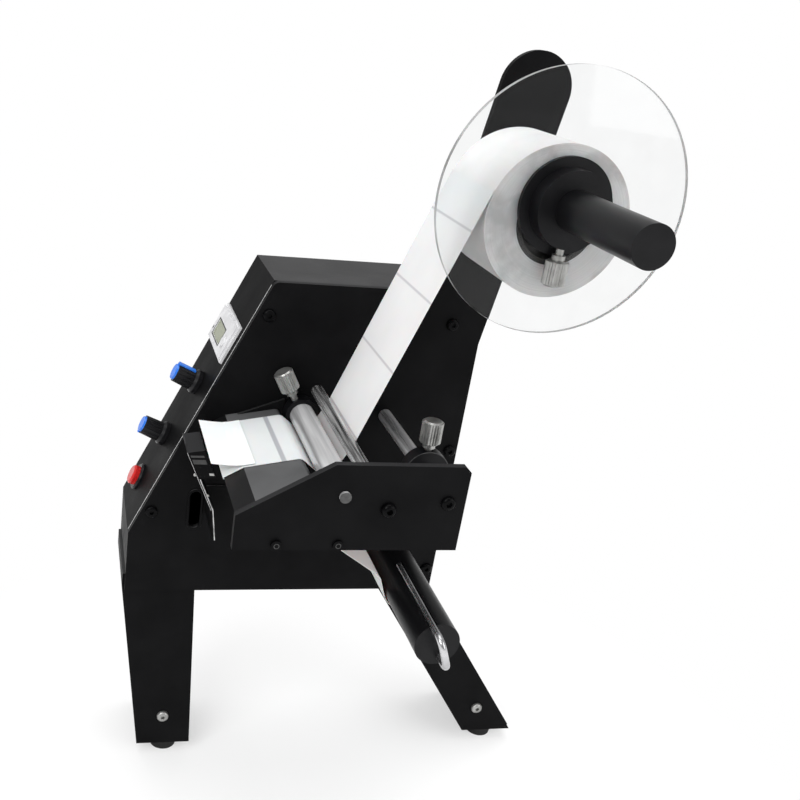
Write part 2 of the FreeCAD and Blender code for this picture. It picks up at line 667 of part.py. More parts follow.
def make_leg_fittings():
    gauge = S["box_sheet"]
    near, far = S["plate_sheet"] + gauge, FAR_SHEET - gauge
    piece = Piece("leg_tie_bars")
    piece.pad(near, far, *[circle(*spot, S["tie_bar_radius"]) for spot in tie_places()])
    hole = [circle(*spot, S["bolt_radius"] + S["fit_gap"]) for spot in tie_places()]
    piece.cut(near, near + 8, *hole)
    piece.cut(far - 8, far, *hole)
    screws = []
    for spot in tie_places():
        x, z = spot[0].number, spot[1].number
        screws.append(round_head(x, S["plate_sheet"].number, z, -1, gauge.number + 7, 4.0, 2.4))
        screws.append(round_head(x, FAR_SHEET.number, z, 1, gauge.number + 7, 4.0, 2.4))
    plain("leg_screws", Part.makeCompound(screws))
    feet = []
    radius, tall = S["foot_radius"].number, S["foot_height"].number
    for x in (S["front_foot_x"].number, S["rear_foot_x"].number):
        for y in (S["near_foot_y"].number, S["far_foot_y"].number):
            spot = Vector(x, y, -S["leg_height"].number - tall)
            feet.append(Part.makeCone(radius - 1.2, radius, tall, spot))
    plain("rubber_feet", Part.makeCompound(feet))


# Fasteners


def hex_prism(flat, length, spot, along):
    """A hexagonal prism, its axis along y."""
    radius = flat / math.sqrt(3)
    corners = [
        Vector(spot.x + radius * math.cos(math.radians(60 * k)), spot.y, spot.z + radius * math.sin(math.radians(60 * k)))
        for k in range(6)
    ]
    face = Part.Face(Part.makePolygon(corners + corners[:1]))
    return face.extrude(Vector(0, along * length, 0))


def round_head(x, y, z, side, depth, radius, tall, socket=2.5):
    """A domed screw with a hexagonal socket: its head stands on face y toward side, shank behind."""
    start, outward = Vector(x, y, z), Vector(0, side, 0)
    head = Part.makeCylinder(radius, tall, start, outward)
    rim = [edge for edge in head.Edges if abs(edge.BoundBox.Center.y - (y + side * tall)) < 1e-6]
    head = head.makeFillet(tall * 0.7, [edge for edge in rim if edge.BoundBox.XLength > radius])
    shank = Part.makeCylinder(number_of(S["bolt_radius"]), depth, start, outward * -1)
    cut = hex_prism(socket, tall * 0.6, Vector(x, y + side * tall, z), -side)
    return head.fuse(shank).cut(cut).removeSplitter()


def make_bolts():
    reach = S["plate_sheet"].number + 5
    tall = S["head_height"].number
    places = [(x.number, z.number) for x, z in PLATE_BOLTS]
    bolts = [round_head(x, 0.0, z, -1, reach, S["bolt_head"].number, tall) for x, z in places]
    plain("plate_bolts", Part.makeCompound(bolts))
    nuts = []
    for x, z in places:
        on_leg = (x, z) in (places[2], places[4])
        start = S["plate_sheet"].number + (S["box_sheet"].number if on_leg else 0.0)
        body = hex_prism(6.0, 3.0, Vector(x, start, z), 1)
        bore = Part.makeCylinder(2.05, 3.0, Vector(x, start, z), Vector(0, 1, 0))
        nuts.append(body.cut(bore))
    plain("plate_nuts", Part.makeCompound(nuts))
    far = S["box_depth"].number
    places = [(x.number, z.number) for x, z in FAR_BOLTS]
    bolts = [round_head(x, far, z, 1, 3.5, S["bolt_head"].number, tall) for x, z in places]
    plain("far_bolts", Part.makeCompound(bolts))
    out = -S["cheek_distance"].number
    deep = S["plate_sheet"].number + 5
    places = [("guide", 3.8, 2.4), ("tie", 4.0, 3.2)]
    bolts = [round_head(S[f"{k}_x"].number, out, S[f"{k}_z"].number, -1, deep, r, t, 3.0) for k, r, t in places]
    plain("cheek_bolts", Part.makeCompound(bolts))


# Cheek and what it carries


def make_cheek():
    piece = Piece("cheek")
    chamfer = S["cheek_chamfer"]
    outline = [
        (S["cheek_front"], S["cheek_low"]),
        (S["cheek_front"], S["cheek_nose"]),
        (S["cheek_slope_end"], S["cheek_top"]),
        (S["cheek_back"] - chamfer, S["cheek_top"]),
        (S["cheek_back"], S["cheek_top"] - chamfer),
        (S["cheek_back"], S["cheek_low"]),
    ]
    outer, inner = -S["cheek_distance"], -CHEEK_INNER
    piece.pad(outer, inner, polygon(outline))
    hole = S["bolt_radius"] + S["hole_gap"]
    pin = S["pin_radius"] + S["fit_gap"]
    piece.cut(
        outer,
        inner,
        circle(S["guide_x"], S["guide_z"], hole),
        circle(S["tie_x"], S["tie_z"], hole),
        circle(S["bar_x"], S["bar_z"], pin),
    )
    journal = S["journal_radius"] + S["fit_gap"]
    piece.cut(
        inner - S["journal_depth"] - S["side_gap"],
        inner,
        circle(S["turn_x"], S["turn_z"], journal),
        circle(S["drive_x"], DRIVE_Z, journal),
    )
    piece.cut(
        outer,
        inner,
        circle(S["pinch_x"], S["pinch_z"], journal),
        circle(S["lower_tie_x"], S["pinch_z"], journal),
    )


def make_rods():
    inner = -CHEEK_INNER
    for label, key in (("guide_rod", "guide"), ("tie_rod", "tie")):
        x, z = S[f"{key}_x"], S[f"{key}_z"]
        piece = Piece(label)
        piece.pad(inner, 0.0, circle(x, z, S[f"{key}_radius"]))
        piece.pad(0.0, S["plate_sheet"] + 4, circle(x, z, S["pin_radius"]))
        piece.cut(inner, inner + 6, circle(x, z, S["bolt_radius"] + S["fit_gap"]))
    piece = Piece("polished_bar")
    x, z = S["bar_x"], S["bar_z"]
    piece.pad(inner, 0.0, circle(x, z, S["bar_radius"]))
    piece.pad(-S["cheek_distance"] - 1.5, S["plate_sheet"], circle(x, z, S["pin_radius"]))
    piece = Piece("lower_tie_rod")
    x, z = S["lower_tie_x"], S["pinch_z"]
    piece.pad(inner, 0.0, circle(x, z, S["small_head"]))
    piece.pad(-S["cheek_distance"], S["journal_depth"], circle(x, z, S["journal_radius"]))
    piece.pad(-S["cheek_distance"] - 1.6, -S["cheek_distance"], circle(x, z, S["small_head"]))
    piece = Piece("spindle")
    x, z = SPINDLE_X, S["spindle_z"]
    piece.pad(-S["spindle_length"], 0.0, circle(x, z, S["spindle_radius"]))
    piece.pad(0.0, S["plate_sheet"] + 6, circle(x, z, S["stud_radius"]))


def make_rollers():
    gap = S["side_gap"]
    near, far = -CHEEK_INNER + gap, 0.0 - gap
    deep = S["journal_depth"]
    for label, x, z, radius in (
        ("turning_roller", S["turn_x"], S["turn_z"], S["turn_radius"]),
        ("liner_roller", S["drive_x"], DRIVE_Z, S["drive_radius"]),
    ):
        piece = Piece(label)
        piece.pad(near, far, circle(x, z, radius))
        piece.pad(-CHEEK_INNER - deep, deep, circle(x, z, S["journal_radius"]))
    piece = Piece("pinch_roller")
    x, z = S["pinch_x"], S["pinch_z"]
    piece.pad(near, far, circle(x, z, S["pinch_radius"]))
    piece.pad(-S["cheek_distance"] - gap, deep, circle(x, z, S["journal_radius"]))
    piece.pad(-S["cheek_distance"] - gap - 1.6, -S["cheek_distance"] - gap, circle(x, z, S["small_head"]))


def make_deck():
    piece = Piece("peel_deck")
    inner = -CHEEK_INNER
    down = S["deck_sheet"] / cosine(S["deck_slope"])
    top = [
        (S["nose_x"], S["nose_z"]),
        (S["fold_x"], S["fold_z"]),
        (S["deck_rear"], DECK_REAR_Z),
        (S["deck_rear"], DECK_REAR_Z - down),
        (S["fold_x"] + 2, S["fold_z"] - down + 0.4),
        (S["nose_x"] + 1.2, S["nose_z"] - 0.7),
    ]
    piece.pad(inner, 0.0, polygon(top))
    piece.round_edges(S["deck_round"], (S["deck_rear"].number, DECK_REAR_Z.number))
    rise = [
        (S["fold_x"] + 1, S["fold_z"] - 1),
        (S["deck_rear"] + 1, DECK_REAR_Z + S["upstand_height"]),
        (S["deck_rear"] + 2, DECK_REAR_Z - 1),
        (S["deck_rear"], DECK_REAR_Z - S["deck_round"] - 1),
        (S["deck_rear"] - S["deck_round"] - 1, DECK_REAR_Z - S["deck_round"] - 1),
    ]
    piece.pad(-S["upstand_sheet"], 0.0, polygon(rise))


# Collars and thumb screws


def make_collar(label, bore, radius, x, y, z, lean, width=None, flange=None):
    """A ring on a rod with a hole for its thumb screw, made with the screw upright."""
    width = S["collar_width"] if width is None else width
    piece = Piece(label, x, y, z, (0, -1, 0), lean)
    piece.pad(-width / 2, width / 2, circle(0.0, 0.0, radius))
    if flange is not None:
        piece.pad(width / 2 - S["flange_width"], width / 2, circle(0.0, 0.0, flange))
    piece.cut(-width / 2, width / 2, circle(0.0, 0.0, bore))
    piece.sink(0.0, radius + 1, circle(0.0, 0.0, S["thumb_shank"] + S["fit_gap"]))
    return piece


def make_thumb_screw(label, inside, outside, x, y, z, lean, stand=None):
    """A knurled thumb screw pointing up, its tip just clear of the rod."""
    stand = S["thumb_stand"] if stand is None else stand
    shank, head = S["thumb_shank"].number, S["thumb_radius"].number
    low = (inside + S["side_gap"]).number
    bottom = (outside + stand).number
    long = S["thumb_length"].number
    teeth, groove, rim = 24, 0.45, 0.8
    corners = []
    for k in range(teeth * 2):
        reach = head - groove * (k % 2)
        angle = math.pi * k / teeth
        corners.append(Vector(reach * math.cos(angle), reach * math.sin(angle), bottom + rim))
    body = Part.Face(Part.makePolygon(corners + corners[:1])).extrude(Vector(0, 0, long - 2 * rim))
    body = body.fuse(Part.makeCone(head - 1.3, head - groove - 0.1, rim, Vector(0, 0, bottom)))
    body = body.fuse(Part.makeCone(head - groove - 0.1, head - 1.3, rim, Vector(0, 0, bottom + long - rim)))
    shoulder = S["thumb_shoulder"].number
    neck = Part.makeCylinder(shank + 1.4, shoulder, Vector(0, 0, bottom - shoulder))
    pin = Part.makeCylinder(shank, bottom - low + 1, Vector(0, 0, low))
    shape = body.fuse(neck).fuse(pin).removeSplitter()
    plain(label, shape, x, y, z, (0, -1, 0), lean)


def make_clamps():
    fit = S["fit_gap"]
    x, y, z = S["guide_x"], -S["guide_collar_place"], S["guide_z"]
    radius = S["guide_collar_radius"]
    make_collar("guide_collar", S["guide_radius"] + fit, radius, x, y, z, 0.001)
    make_thumb_screw("guide_collar_screw", S["guide_radius"], radius, x, y, z, 0.001)
    x, y, z = S["bar_x"], -S["bar_collar_place"], S["bar_z"]
    radius, lean = S["bar_collar_radius"], S["bar_collar_lean"]
    make_collar("bar_collar", S["bar_radius"] + fit, radius, x, y, z, lean)
    make_thumb_screw("bar_collar_screw", S["bar_radius"], radius, x, y, z, lean, S["bar_screw_stand"])
    x, z = SPINDLE_X, S["spindle_z"]
    y = -(DISC_PLACE + S["disc_sheet"] + S["hub_width"] / 2)
    radius, flange = S["hub_radius"], S["hub_flange"]
    make_collar("disc_hub", S["spindle_radius"] + fit, radius, x, y, z, 180.0, S["hub_width"], flange)
    make_thumb_screw("disc_hub_screw", S["spindle_radius"], flange, x, y, z, 180.0, S["side_gap"] * 4)
    piece = Piece("retaining_disc")
    piece.pad(-DISC_PLACE - S["disc_sheet"], -DISC_PLACE, circle(x, z, S["disc_radius"]))
    piece.cut(-DISC_PLACE - S["disc_sheet"], -DISC_PLACE, circle(x, z, S["spindle_radius"] + fit))


def make_roll():
    x, z = SPINDLE_X, ROLL_Z
    near, far = -(S["web_start"] + S["web_width"]), -S["web_start"]
    tube = S["core_bore"] + S["core_wall"]
    piece = Piece("label_roll")
    piece.pad(near, far, circle(x, z, S["roll_radius"]))
    piece.cut(near, far, circle(x, z, tube))
    piece = Piece("roll_core")
    piece.pad(near, far, circle(x, z, tube))
    piece.cut(near, far, circle(x, z, S["core_bore"]))


# Paper


def wrap_path(circles):
    """Points along a band round circles (x, z, radius, side), side 1 with the circle at the left.

    A tight band that passes free of a circle runs straight on to the next one.
    """
    runs = []
    for (ax, az, ar, aside), (bx, bz, br, bside) in zip(circles, circles[1:]):
        span = math.hypot(bx - ax, bz - az)
        heading = math.atan2(bz - az, bx - ax) - math.asin((bside * br - aside * ar) / span)
        left = (-math.sin(heading), math.cos(heading))
        start = (ax - aside * ar * left[0], az - aside * ar * left[1])
        end = (bx - bside * br * left[0], bz - bside * br * left[1])
        runs.append((start, end))
    points = [runs[0][0]]
    for index in range(1, len(circles) - 1):
        x, z, radius, side = circles[index]
        enter, leave = runs[index - 1][1], runs[index][0]
        start = math.atan2(enter[1] - z, enter[0] - x)
        end = math.atan2(leave[1] - z, leave[0] - x)
        turn = (end - start) * side % (2 * math.pi)
        if turn > 1.5 * math.pi:
            return wrap_path(circles[:index] + circles[index + 1 :])
        count = max(1, round(math.degrees(turn) / 10))
        for k in range(count + 1):
            angle = start + side * turn * k / count
            points.append((x + radius * math.cos(angle), z + radius * math.sin(angle)))
    points.append(runs[-1][1])
    kept = points[:1]
    for point in points[1:]:
        if math.dist(point, kept[-1]) > 0.001:
            kept.append(point)
    return kept


def strip(points, gauge, near, far):
    """A band of even thickness along a path, from y = near to y = far."""
    sides = []
    for sign in (1, -1):
        row = []
        for index, (x, z) in enumerate(points):
            before = points[max(index - 1, 0)]
            after = points[min(index + 1, len(points) - 1)]
            length = math.hypot(after[0] - before[0], after[1] - before[1])
            across = (-(after[1] - before[1]) / length, (after[0] - before[0]) / length)
            row.append(Vector(x + sign * gauge / 2 * across[0], near, z + sign * gauge / 2 * across[1]))
        sides.append(row)
    outline = sides[0] + sides[1][::-1]
    return Part.Face(Part.makePolygon(outline + outline[:1])).extrude(Vector(0, far - near, 0))


def make_paper():
    gauge = S["liner_sheet"].number
    off = S["paper_gap"].number + gauge / 2
    near, far = -(S["web_start"] + S["web_width"]).number, -S["web_start"].number
    roll = (SPINDLE_X.number, ROLL_Z.number, S["roll_radius"].number + off, 1)
    turn = (S["turn_x"].number, S["turn_z"].number, S["turn_radius"].number + off, -1)
    bar = (S["bar_x"].number, S["bar_z"].number, S["bar_radius"].number + off, -1)
    slope = math.radians(S["deck_slope"].number)
    edge = S["deck_round"].number
    deck_x = S["deck_rear"].number - edge
    deck_z = DECK_REAR_Z.number - edge * math.tan(slope) - edge / math.cos(slope)
    deck = (deck_x, deck_z, edge + off, 1)
    fold = (S["fold_x"].number, S["fold_z"].number, off, 1)
    nose = (S["nose_x"].number, S["nose_z"].number, off, 1)
    pinch = (S["pinch_x"].number, S["pinch_z"].number, S["pinch_radius"].number + off, -1)
    wound = (S["clip_seat"] + S["clip_radius"]).number + off
    mandrel = (S["mandrel_x"].number, S["mandrel_z"].number, wound, 1)
    ahead, above = S["mandrel_x"] - S["bend_ahead"], S["mandrel_z"] + S["bend_above"]
    bend = (ahead.number, above.number, S["bend_radius"].number, -1)
    behind, above = S["mandrel_x"] + S["leave_behind"], S["mandrel_z"] + S["leave_above"]
    side = (behind.number, above.number, 1.0, 1)
    drop = wrap_path([roll, turn, bar])
    plain("web_drop", strip(drop[:2], gauge, near, far))
    feed = wrap_path([roll, turn, bar, deck, fold, nose])
    plain("web_feed", strip(feed[1:-1], gauge, near, far))
    back = wrap_path([fold, nose, pinch, bend, mandrel, side])
    plain("liner_return", strip(back[:-1], gauge, near, far))
    tip = S["label_tip"].number
    x, z = fold[0], fold[1] + 2 * off + 0.35
    rise = S["label_rise"].number
    label = [(x + 6, z + 6 * math.tan(slope)), (x, z), (x - 4, z - 0.4), (x - 9, z - 0.2), (tip, z + rise)]
    plain("peeled_label", strip(label, 0.25, near + 1, far - 1))


# Mandrel, motor and belt


def make_mandrel():
    x, z = S["mandrel_x"], S["mandrel_z"]
    piece = Piece("mandrel", x, 0.0, z, (0, -1, 0), S["clip_turn"])
    end, wire = -S["mandrel_end"], S["clip_radius"] + 0.1
    piece.pad(end, -S["mandrel_gap"], circle(0.0, 0.0, S["mandrel_radius"]))
    piece.pad(-S["mandrel_gap"], S["box_depth"] - S["stud_short"], circle(0.0, 0.0, S["stud_radius"]))
    low = S["clip_seat"] - wire
    groove = [(-wire, low), (wire, low), (wire, S["mandrel_radius"] + 1), (-wire, S["mandrel_radius"] + 1)]
    piece.cut(end, -S["clip_start"] + 1, polygon(groove))
    piece.cut(end, end + S["clip_hole"] + 1, circle(0.0, -S["clip_inner"], wire))
    clip_radius = S["clip_radius"].number
    top, low = S["clip_seat"].number, -S["clip_inner"].number
    front = end.number - S["clip_out"].number
    bend = 6.0
    corner = [
        Part.LineSegment(Vector(0, -S["clip_start"].number, top), Vector(0, front + bend, top)),
        Part.Arc(Vector(0, front + bend, top), Vector(0, front + bend * 0.293, top - bend * 0.293), Vector(0, front, top - bend)),
        Part.LineSegment(Vector(0, front, top - bend), Vector(0, front, low + bend)),
        Part.Arc(Vector(0, front, low + bend), Vector(0, front + bend * 0.293, low + bend * 0.293), Vector(0, front + bend, low)),
        Part.LineSegment(Vector(0, front + bend, low), Vector(0, end.number + S["clip_hole"].number, low)),
    ]
    path = Part.Wire([curve.toShape() for curve in corner])
    ring = Part.Wire(Part.makeCircle(clip_radius, Vector(0, -S["clip_start"].number, top), Vector(0, 1, 0)))
    plain("mandrel_clip", path.makePipeShell([ring], True, False), x, 0.0, z, (0, -1, 0), S["clip_turn"])


def make_drive():
    start = S["pulley_place"]
    stop = start + S["pulley_width"]
    for label, x, z, bore in (
        ("mandrel_pulley", S["mandrel_x"], S["mandrel_z"], S["stud_radius"]),
        ("motor_pulley", S["motor_x"], S["motor_z"], S["motor_shaft"]),
    ):
        piece = Piece(label)
        piece.pad(start, stop, circle(x, z, S["pulley_radius"]))
        for side in (start, stop - 1):
            piece.pad(side, side + 1, circle(x, z, S["pulley_radius"] + 2))
        piece.cut(start, stop, circle(x, z, bore + S["fit_gap"]))
    x, z = S["mandrel_x"].number, S["mandrel_z"].number
    far_x, far_z = S["motor_x"].number, S["motor_z"].number
    inner = S["pulley_radius"].number + 0.3
    outer = inner + S["belt_sheet"].number
    low, high = start.number + 1.3, stop.number - 1.3
    span = math.hypot(far_x - x, far_z - z)
    turn = math.degrees(math.atan2(far_z - z, far_x - x))

    def loop(radius):
        slab = Part.makeBox(span, high - low, radius * 2, Vector(0, low, -radius))
        ends = [Part.makeCylinder(radius, high - low, Vector(a, low, 0), Vector(0, 1, 0)) for a in (0, span)]
        return slab.multiFuse(ends).removeSplitter()

    belt = loop(outer).cut(loop(inner))
    plain("drive_belt", belt, x, 0.0, z, (0, -1, 0), turn)
    piece = Piece("motor")
    x, z = S["motor_x"], S["motor_z"]
    base = S["motor_place"]
    piece.pad(base, base + 2, circle(x, z, S["motor_radius"] + 4))
    piece.pad(base + 2, base + S["motor_length"], circle(x, z, S["motor_radius"]))
    piece.cut(base, base + 12, circle(x, z, S["motor_shaft"] + S["fit_gap"]))
    piece = Piece("motor_shaft")
    piece.pad(start - 2, base + 10, circle(x, z, S["motor_shaft"]))
    piece = Piece("motor_posts")
    ring = S["motor_radius"]
    posts = [circle(x + ring * math.cos(a), z + ring * math.sin(a), 3.0) for a in map(math.radians, (42, 132, 222))]
    piece.pad(S["plate_sheet"], base, *posts)
    piece = Piece("mandrel_bearing")
    x, z = S["mandrel_x"], S["mandrel_z"]
    begin = S["plate_sheet"]
    piece.pad(begin, begin + S["bearing_width"], circle(x, z, S["bearing_radius"]))
    piece.cut(begin, begin + S["bearing_width"], circle(x, z, S["stud_radius"] + S["fit_gap"]))
    piece = Piece("transformer", S["core_x"], S["core_y"], S["box_sheet"])
    tall = S["core_tall"]
    piece.raise_up(0.0, tall, rectangle(0.0, 0.0, S["core_long"] - 16, S["core_deep"]))
    piece.raise_up(8.0, tall - 8, rectangle(0.0, 0.0, S["core_long"], S["core_deep"] - 12))


# Control panel


def panel_piece(label, along, across):
    """A body whose x runs up the panel, y across it and z out of it."""
    slant = S["slant_angle"]
    x = along * cosine(slant)
    z = S["front_height"] + along * sine(slant)
    return Piece(label, x, across, z, (0, -1, 0), slant)


def make_counter():
    piece = panel_piece("counter_bezel", S["counter_s"], S["counter_y"])
    wide, long, rise = S["counter_wide"], S["counter_long"], S["counter_rise"]
    piece.raise_up(0.0, rise - 1.5, rectangle(0.0, 0.0, wide, long))
    piece.raise_up(rise - 1.5, rise, rectangle(0.0, 0.0, wide - 3, long - 3))
    case_wide, case_long = wide - 3 - S["side_gap"], long - 3 - S["side_gap"]
    piece.raise_up(-S["counter_deep"], 0.0, rectangle(0.0, 0.0, case_wide, case_long))
    window = [
        S["window_s"] - S["counter_s"],
        S["window_y"] - S["counter_y"],
        S["window_wide"] + S["fit_gap"] * 2,
        S["window_long"] + S["fit_gap"] * 2,
    ]
    piece.sink(rise - 1.6, rise, rectangle(*window))
    reset = (S["reset_s"] - S["counter_s"], S["reset_y"] - S["counter_y"])
    piece.sink(rise - 6, rise, circle(*reset, S["reset_radius"] + S["fit_gap"]))
    piece = panel_piece("counter_window", S["window_s"], S["window_y"])
    piece.raise_up(rise - 1.6, rise - 0.6, rectangle(0.0, 0.0, S["window_wide"], S["window_long"]))
    piece = panel_piece("counter_reset", S["reset_s"], S["reset_y"])
    piece.raise_up(rise - 4.5, rise + 1.2, circle(0.0, 0.0, S["reset_radius"]))


def make_pots():
    """The two potentiometers behind the knobs, each with a threaded neck through the panel."""
    piece = panel_piece("knob_pots", S["lower_knob_s"], S["lower_knob_y"])
    other = (S["upper_knob_s"] - S["lower_knob_s"], S["upper_knob_y"] - S["lower_knob_y"])
    back = -S["box_sheet"]
    for low, high, radius in ((back - 9, back, 8.0), (back, 2.0, 3.5)):
        piece.raise_up(low, high, circle(0.0, 0.0, radius), circle(*other, radius))
    piece.sink(back - 9, 2.0, circle(0.0, 0.0, 3.05), circle(*other, 3.05))


def make_knob(name, along, across, side):
    """A fluted knob and its coloured cap, whose pointer runs down the knob on one side."""
    gap, back = S["side_gap"], -S["box_sheet"]
    piece = panel_piece(f"{name}_knob", along, across)
    tall, body, skirt = S["knob_height"], S["knob_radius"], S["knob_skirt"]
    shoulder = tall - 1.2
    piece.turned(
        [
            (0.0, back - 6),
            (3.0, back - 6),
            (3.0, 3.0),
            (4.0, 3.0),
            (4.0, gap),
            (skirt, gap),
            (skirt, 3.0),
            (body, 4.5),
            (body - 0.4, shoulder),
            (0.0, shoulder),
        ]
    )
    flute = piece.sink(4.6, tall, circle(body + 0.5, 0.0, 1.1))
    piece.repeat(flute, 14)
    slot = (S["pointer_wide"] + S["fit_gap"] * 2, S["pointer_wide"])
    inner = body - 0.3 - S["pointer_deep"]
    piece.sink(4.6, tall, rectangle(side * (inner + 2), 0.0, 4.0, slot[0]))
    piece = panel_piece(f"{name}_cap", along, across)
    piece.turned([(0.0, shoulder), (body - 1.2, shoulder), (body - 1.5, tall), (0.0, tall)])
    outer = inner + S["pointer_deep"]
    piece.raise_up(4.6, shoulder, rectangle(side * (inner + outer) / 2, 0.0, S["pointer_deep"], slot[1]))
    piece.raise_up(shoulder, tall - 0.3, rectangle(side * outer / 2, 0.0, outer, slot[1]))


def make_button():
    piece = panel_piece("button_collar", S["button_s"], S["button_y"])
    cap, gap = S["button_radius"], S["fit_gap"]
    back = -S["box_sheet"]
    piece.turned(
        [
            (cap + gap, back - 10),
            (cap + 1, back - 10),
            (cap + 1, 0.0),
            (S["button_collar"], 0.0),
            (S["button_collar"], 1.2),
            (S["button_collar"] - 0.8, 2.2),
            (cap + gap, 2.2),
        ]
    )
    piece = panel_piece("push_button", S["button_s"], S["button_y"])
    rise = S["button_rise"]
    piece.turned([(0.0, back - 5), (cap, back - 5), (cap, rise - 1), (cap - 1, rise), (0.0, rise)])


# Sensor


def make_sensor():
    piece = Piece("sensor_bracket")
    start, stop = -(S["bracket_start"] + S["bracket_wide"]), -S["bracket_start"]
    gauge = S["bracket_sheet"]
    top, knee = (S["bracket_top_x"], S["bracket_top_z"]), (S["bracket_knee_x"], S["bracket_knee_z"])
    low = (S["bracket_low_x"], S["bracket_low_z"])
    profile = [top, (top[0] + gauge, top[1]), (knee[0] + gauge, knee[1]), (low[0] + gauge, low[1]), low, knee]
    piece.pad(start, stop, polygon(profile))
    piece.pad(stop, 0.0, polygon([low, knee, (knee[0] + gauge, knee[1]), (low[0] + gauge, low[1])]))
    foot = [low, knee, (low[0] + 10, knee[1]), (low[0] + 10, low[1])]
    piece.pad(-gauge, 0.0, polygon(foot))
    piece = Piece("sensor_block")
    run = (knee[0] - top[0]) / (knee[1] - top[1])
    corners = []
    for height in (S["sensor_low"], S["sensor_low"] + S["sensor_tall"]):
        face = top[0] + gauge + (height - top[1]) * run
        corners.append((face, height))
        corners.append((face + S["sensor_wide"], height + 1.5))
    outline = [corners[0], corners[2], corners[3], corners[1]]
    first = -(S["sensor_start"] + S["sensor_long"])
    piece.pad(first, -S["sensor_start"], polygon(outline))


# Power inlet


def make_inlet():
    rear = S["plate_width"]
    y, z, wide, tall = S["inlet_y"], S["inlet_z"], S["inlet_wide"], S["inlet_tall"]
    piece = Piece("power_inlet")
    flange = [rectangle(y, z, wide, tall)]
    piece.step("Pad", piece.sketch("YZ_Plane", rear, flange), 2.0)
    case = [rectangle(y, z, wide - 3 - S["side_gap"], tall - 3 - S["side_gap"])]
    piece.step("Pad", piece.sketch("YZ_Plane", rear - 22, case), 22.0)
    socket = [rectangle(y, z - 9, 20.0, 16.0)]
    piece.step("Pocket", piece.sketch("YZ_Plane", rear + 2, socket), 14.0)
    blades = [rectangle(y + a, z - 9 + b, 1.6, 4.0) for a, b in ((-6, -2), (0, 3), (6, -2))]
    piece.step("Pad", piece.sketch("YZ_Plane", rear - 12, blades), 12.0)
    opening = [rectangle(y, z + 12, 20.0, 13.6)]
    piece.step("Pocket", piece.sketch("YZ_Plane", rear + 2, opening), 10.0)
    piece = Piece("power_switch")
    rocker = [
        (rear - 3, z + 6.2),
        (rear + 2.6, z + 6.2),
        (rear + 1.6, z + 12),
        (rear + 3.6, z + 17.8),
        (rear - 3, z + 17.8),
    ]
    piece.pad(y - 9.7, y + 9.7, polygon(rocker))
    piece.pad(y - 9.95, y + 9.95, circle(rear - 1, z + 12, 1.4))


# Build, check and write

make_main_plate()
make_cover()
make_far_panel()
make_bottom_plate()
make_legs()
make_leg_fittings()
make_bolts()
make_cheek()
make_rods()
make_rollers()
make_deck()
make_clamps()
make_roll()
make_paper()
make_mandrel()
make_drive()
make_counter()
make_pots()
make_knob("upper", S["upper_knob_s"], S["upper_knob_y"], 1)
make_knob("lower", S["lower_knob_s"], S["lower_knob_y"], -1)
make_button()
make_sensor()
make_inlet()
document.recompute()

for item in document.Objects:
    if "Invalid" in item.State or "Error" in item.State:
        raise RuntimeError(f"{item.Label} did not recompute: {item.State}")

os.makedirs("parts", exist_ok=True)
for node in NODES:
    shape = node.Shape
    if shape.isNull() or not shape.isValid():
        raise RuntimeError(f"{node.Label} has no valid shape")
    shape.exportStep(f"parts/{node.Label}.step")
    box = shape.BoundBox
    print(f"{node.Label:20s} solids {len(shape.Solids)} x {box.XMin:8.2f} {box.XMax:8.2f} "
          f"y {box.YMin:8.2f} {box.YMax:8.2f} z {box.ZMin:8.2f} {box.ZMax:8.2f}")
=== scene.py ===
# %% [markdown]
# # A bench label dispenser
# The CAD frame gives every rigid piece its true shape and place. This lesson dresses it: powder-coated
# sheet, turned and polished metal, clear acrylic, paper, moulded knobs, then a studio and a camera.
# All lengths here are metres. Plate coordinates, in millimetres, start at the lower front corner of the
# main plate's face: x along the plate, y into the box, z up.

import math

import bmesh
import bpy
from mathutils import Matrix, Vector


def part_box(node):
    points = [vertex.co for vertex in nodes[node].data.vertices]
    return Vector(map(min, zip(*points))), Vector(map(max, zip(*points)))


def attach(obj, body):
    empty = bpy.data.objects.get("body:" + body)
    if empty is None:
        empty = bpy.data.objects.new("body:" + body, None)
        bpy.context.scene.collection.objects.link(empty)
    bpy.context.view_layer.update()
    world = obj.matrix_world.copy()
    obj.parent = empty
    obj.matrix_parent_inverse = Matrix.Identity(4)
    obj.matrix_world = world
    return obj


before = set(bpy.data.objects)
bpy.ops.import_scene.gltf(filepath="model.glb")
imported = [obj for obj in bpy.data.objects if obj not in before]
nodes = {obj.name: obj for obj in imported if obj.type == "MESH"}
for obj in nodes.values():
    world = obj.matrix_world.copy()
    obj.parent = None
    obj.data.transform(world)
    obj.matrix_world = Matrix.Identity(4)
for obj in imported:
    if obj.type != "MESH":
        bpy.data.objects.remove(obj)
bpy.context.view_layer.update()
PLATE_CORNER = Vector((-0.14275, 0.0464, 0.1335))


def at(x, y, z):
    """A point from plate coordinates in millimetres."""
    return PLATE_CORNER + Vector((x, y, z)) / 1000


print("frame nodes:", len(nodes))

# %% [markdown]
# ## Shader helpers
# Every finish starts from noise in object coordinates, so no piece is one flat colour. The noise moves
# the colour a little, the roughness a little, and the surface normal a very little.

# %% Shader helpers


def start(name):
    """A new node material with its tree, its main shader and its object coordinates."""
    material = bpy.data.materials.new(name)
    material.use_nodes = True
    tree = material.node_tree
    shader = tree.nodes["Principled BSDF"]
    coordinates = tree.nodes.new("ShaderNodeTexCoord").outputs["Object"]
    return material, tree, shader, coordinates


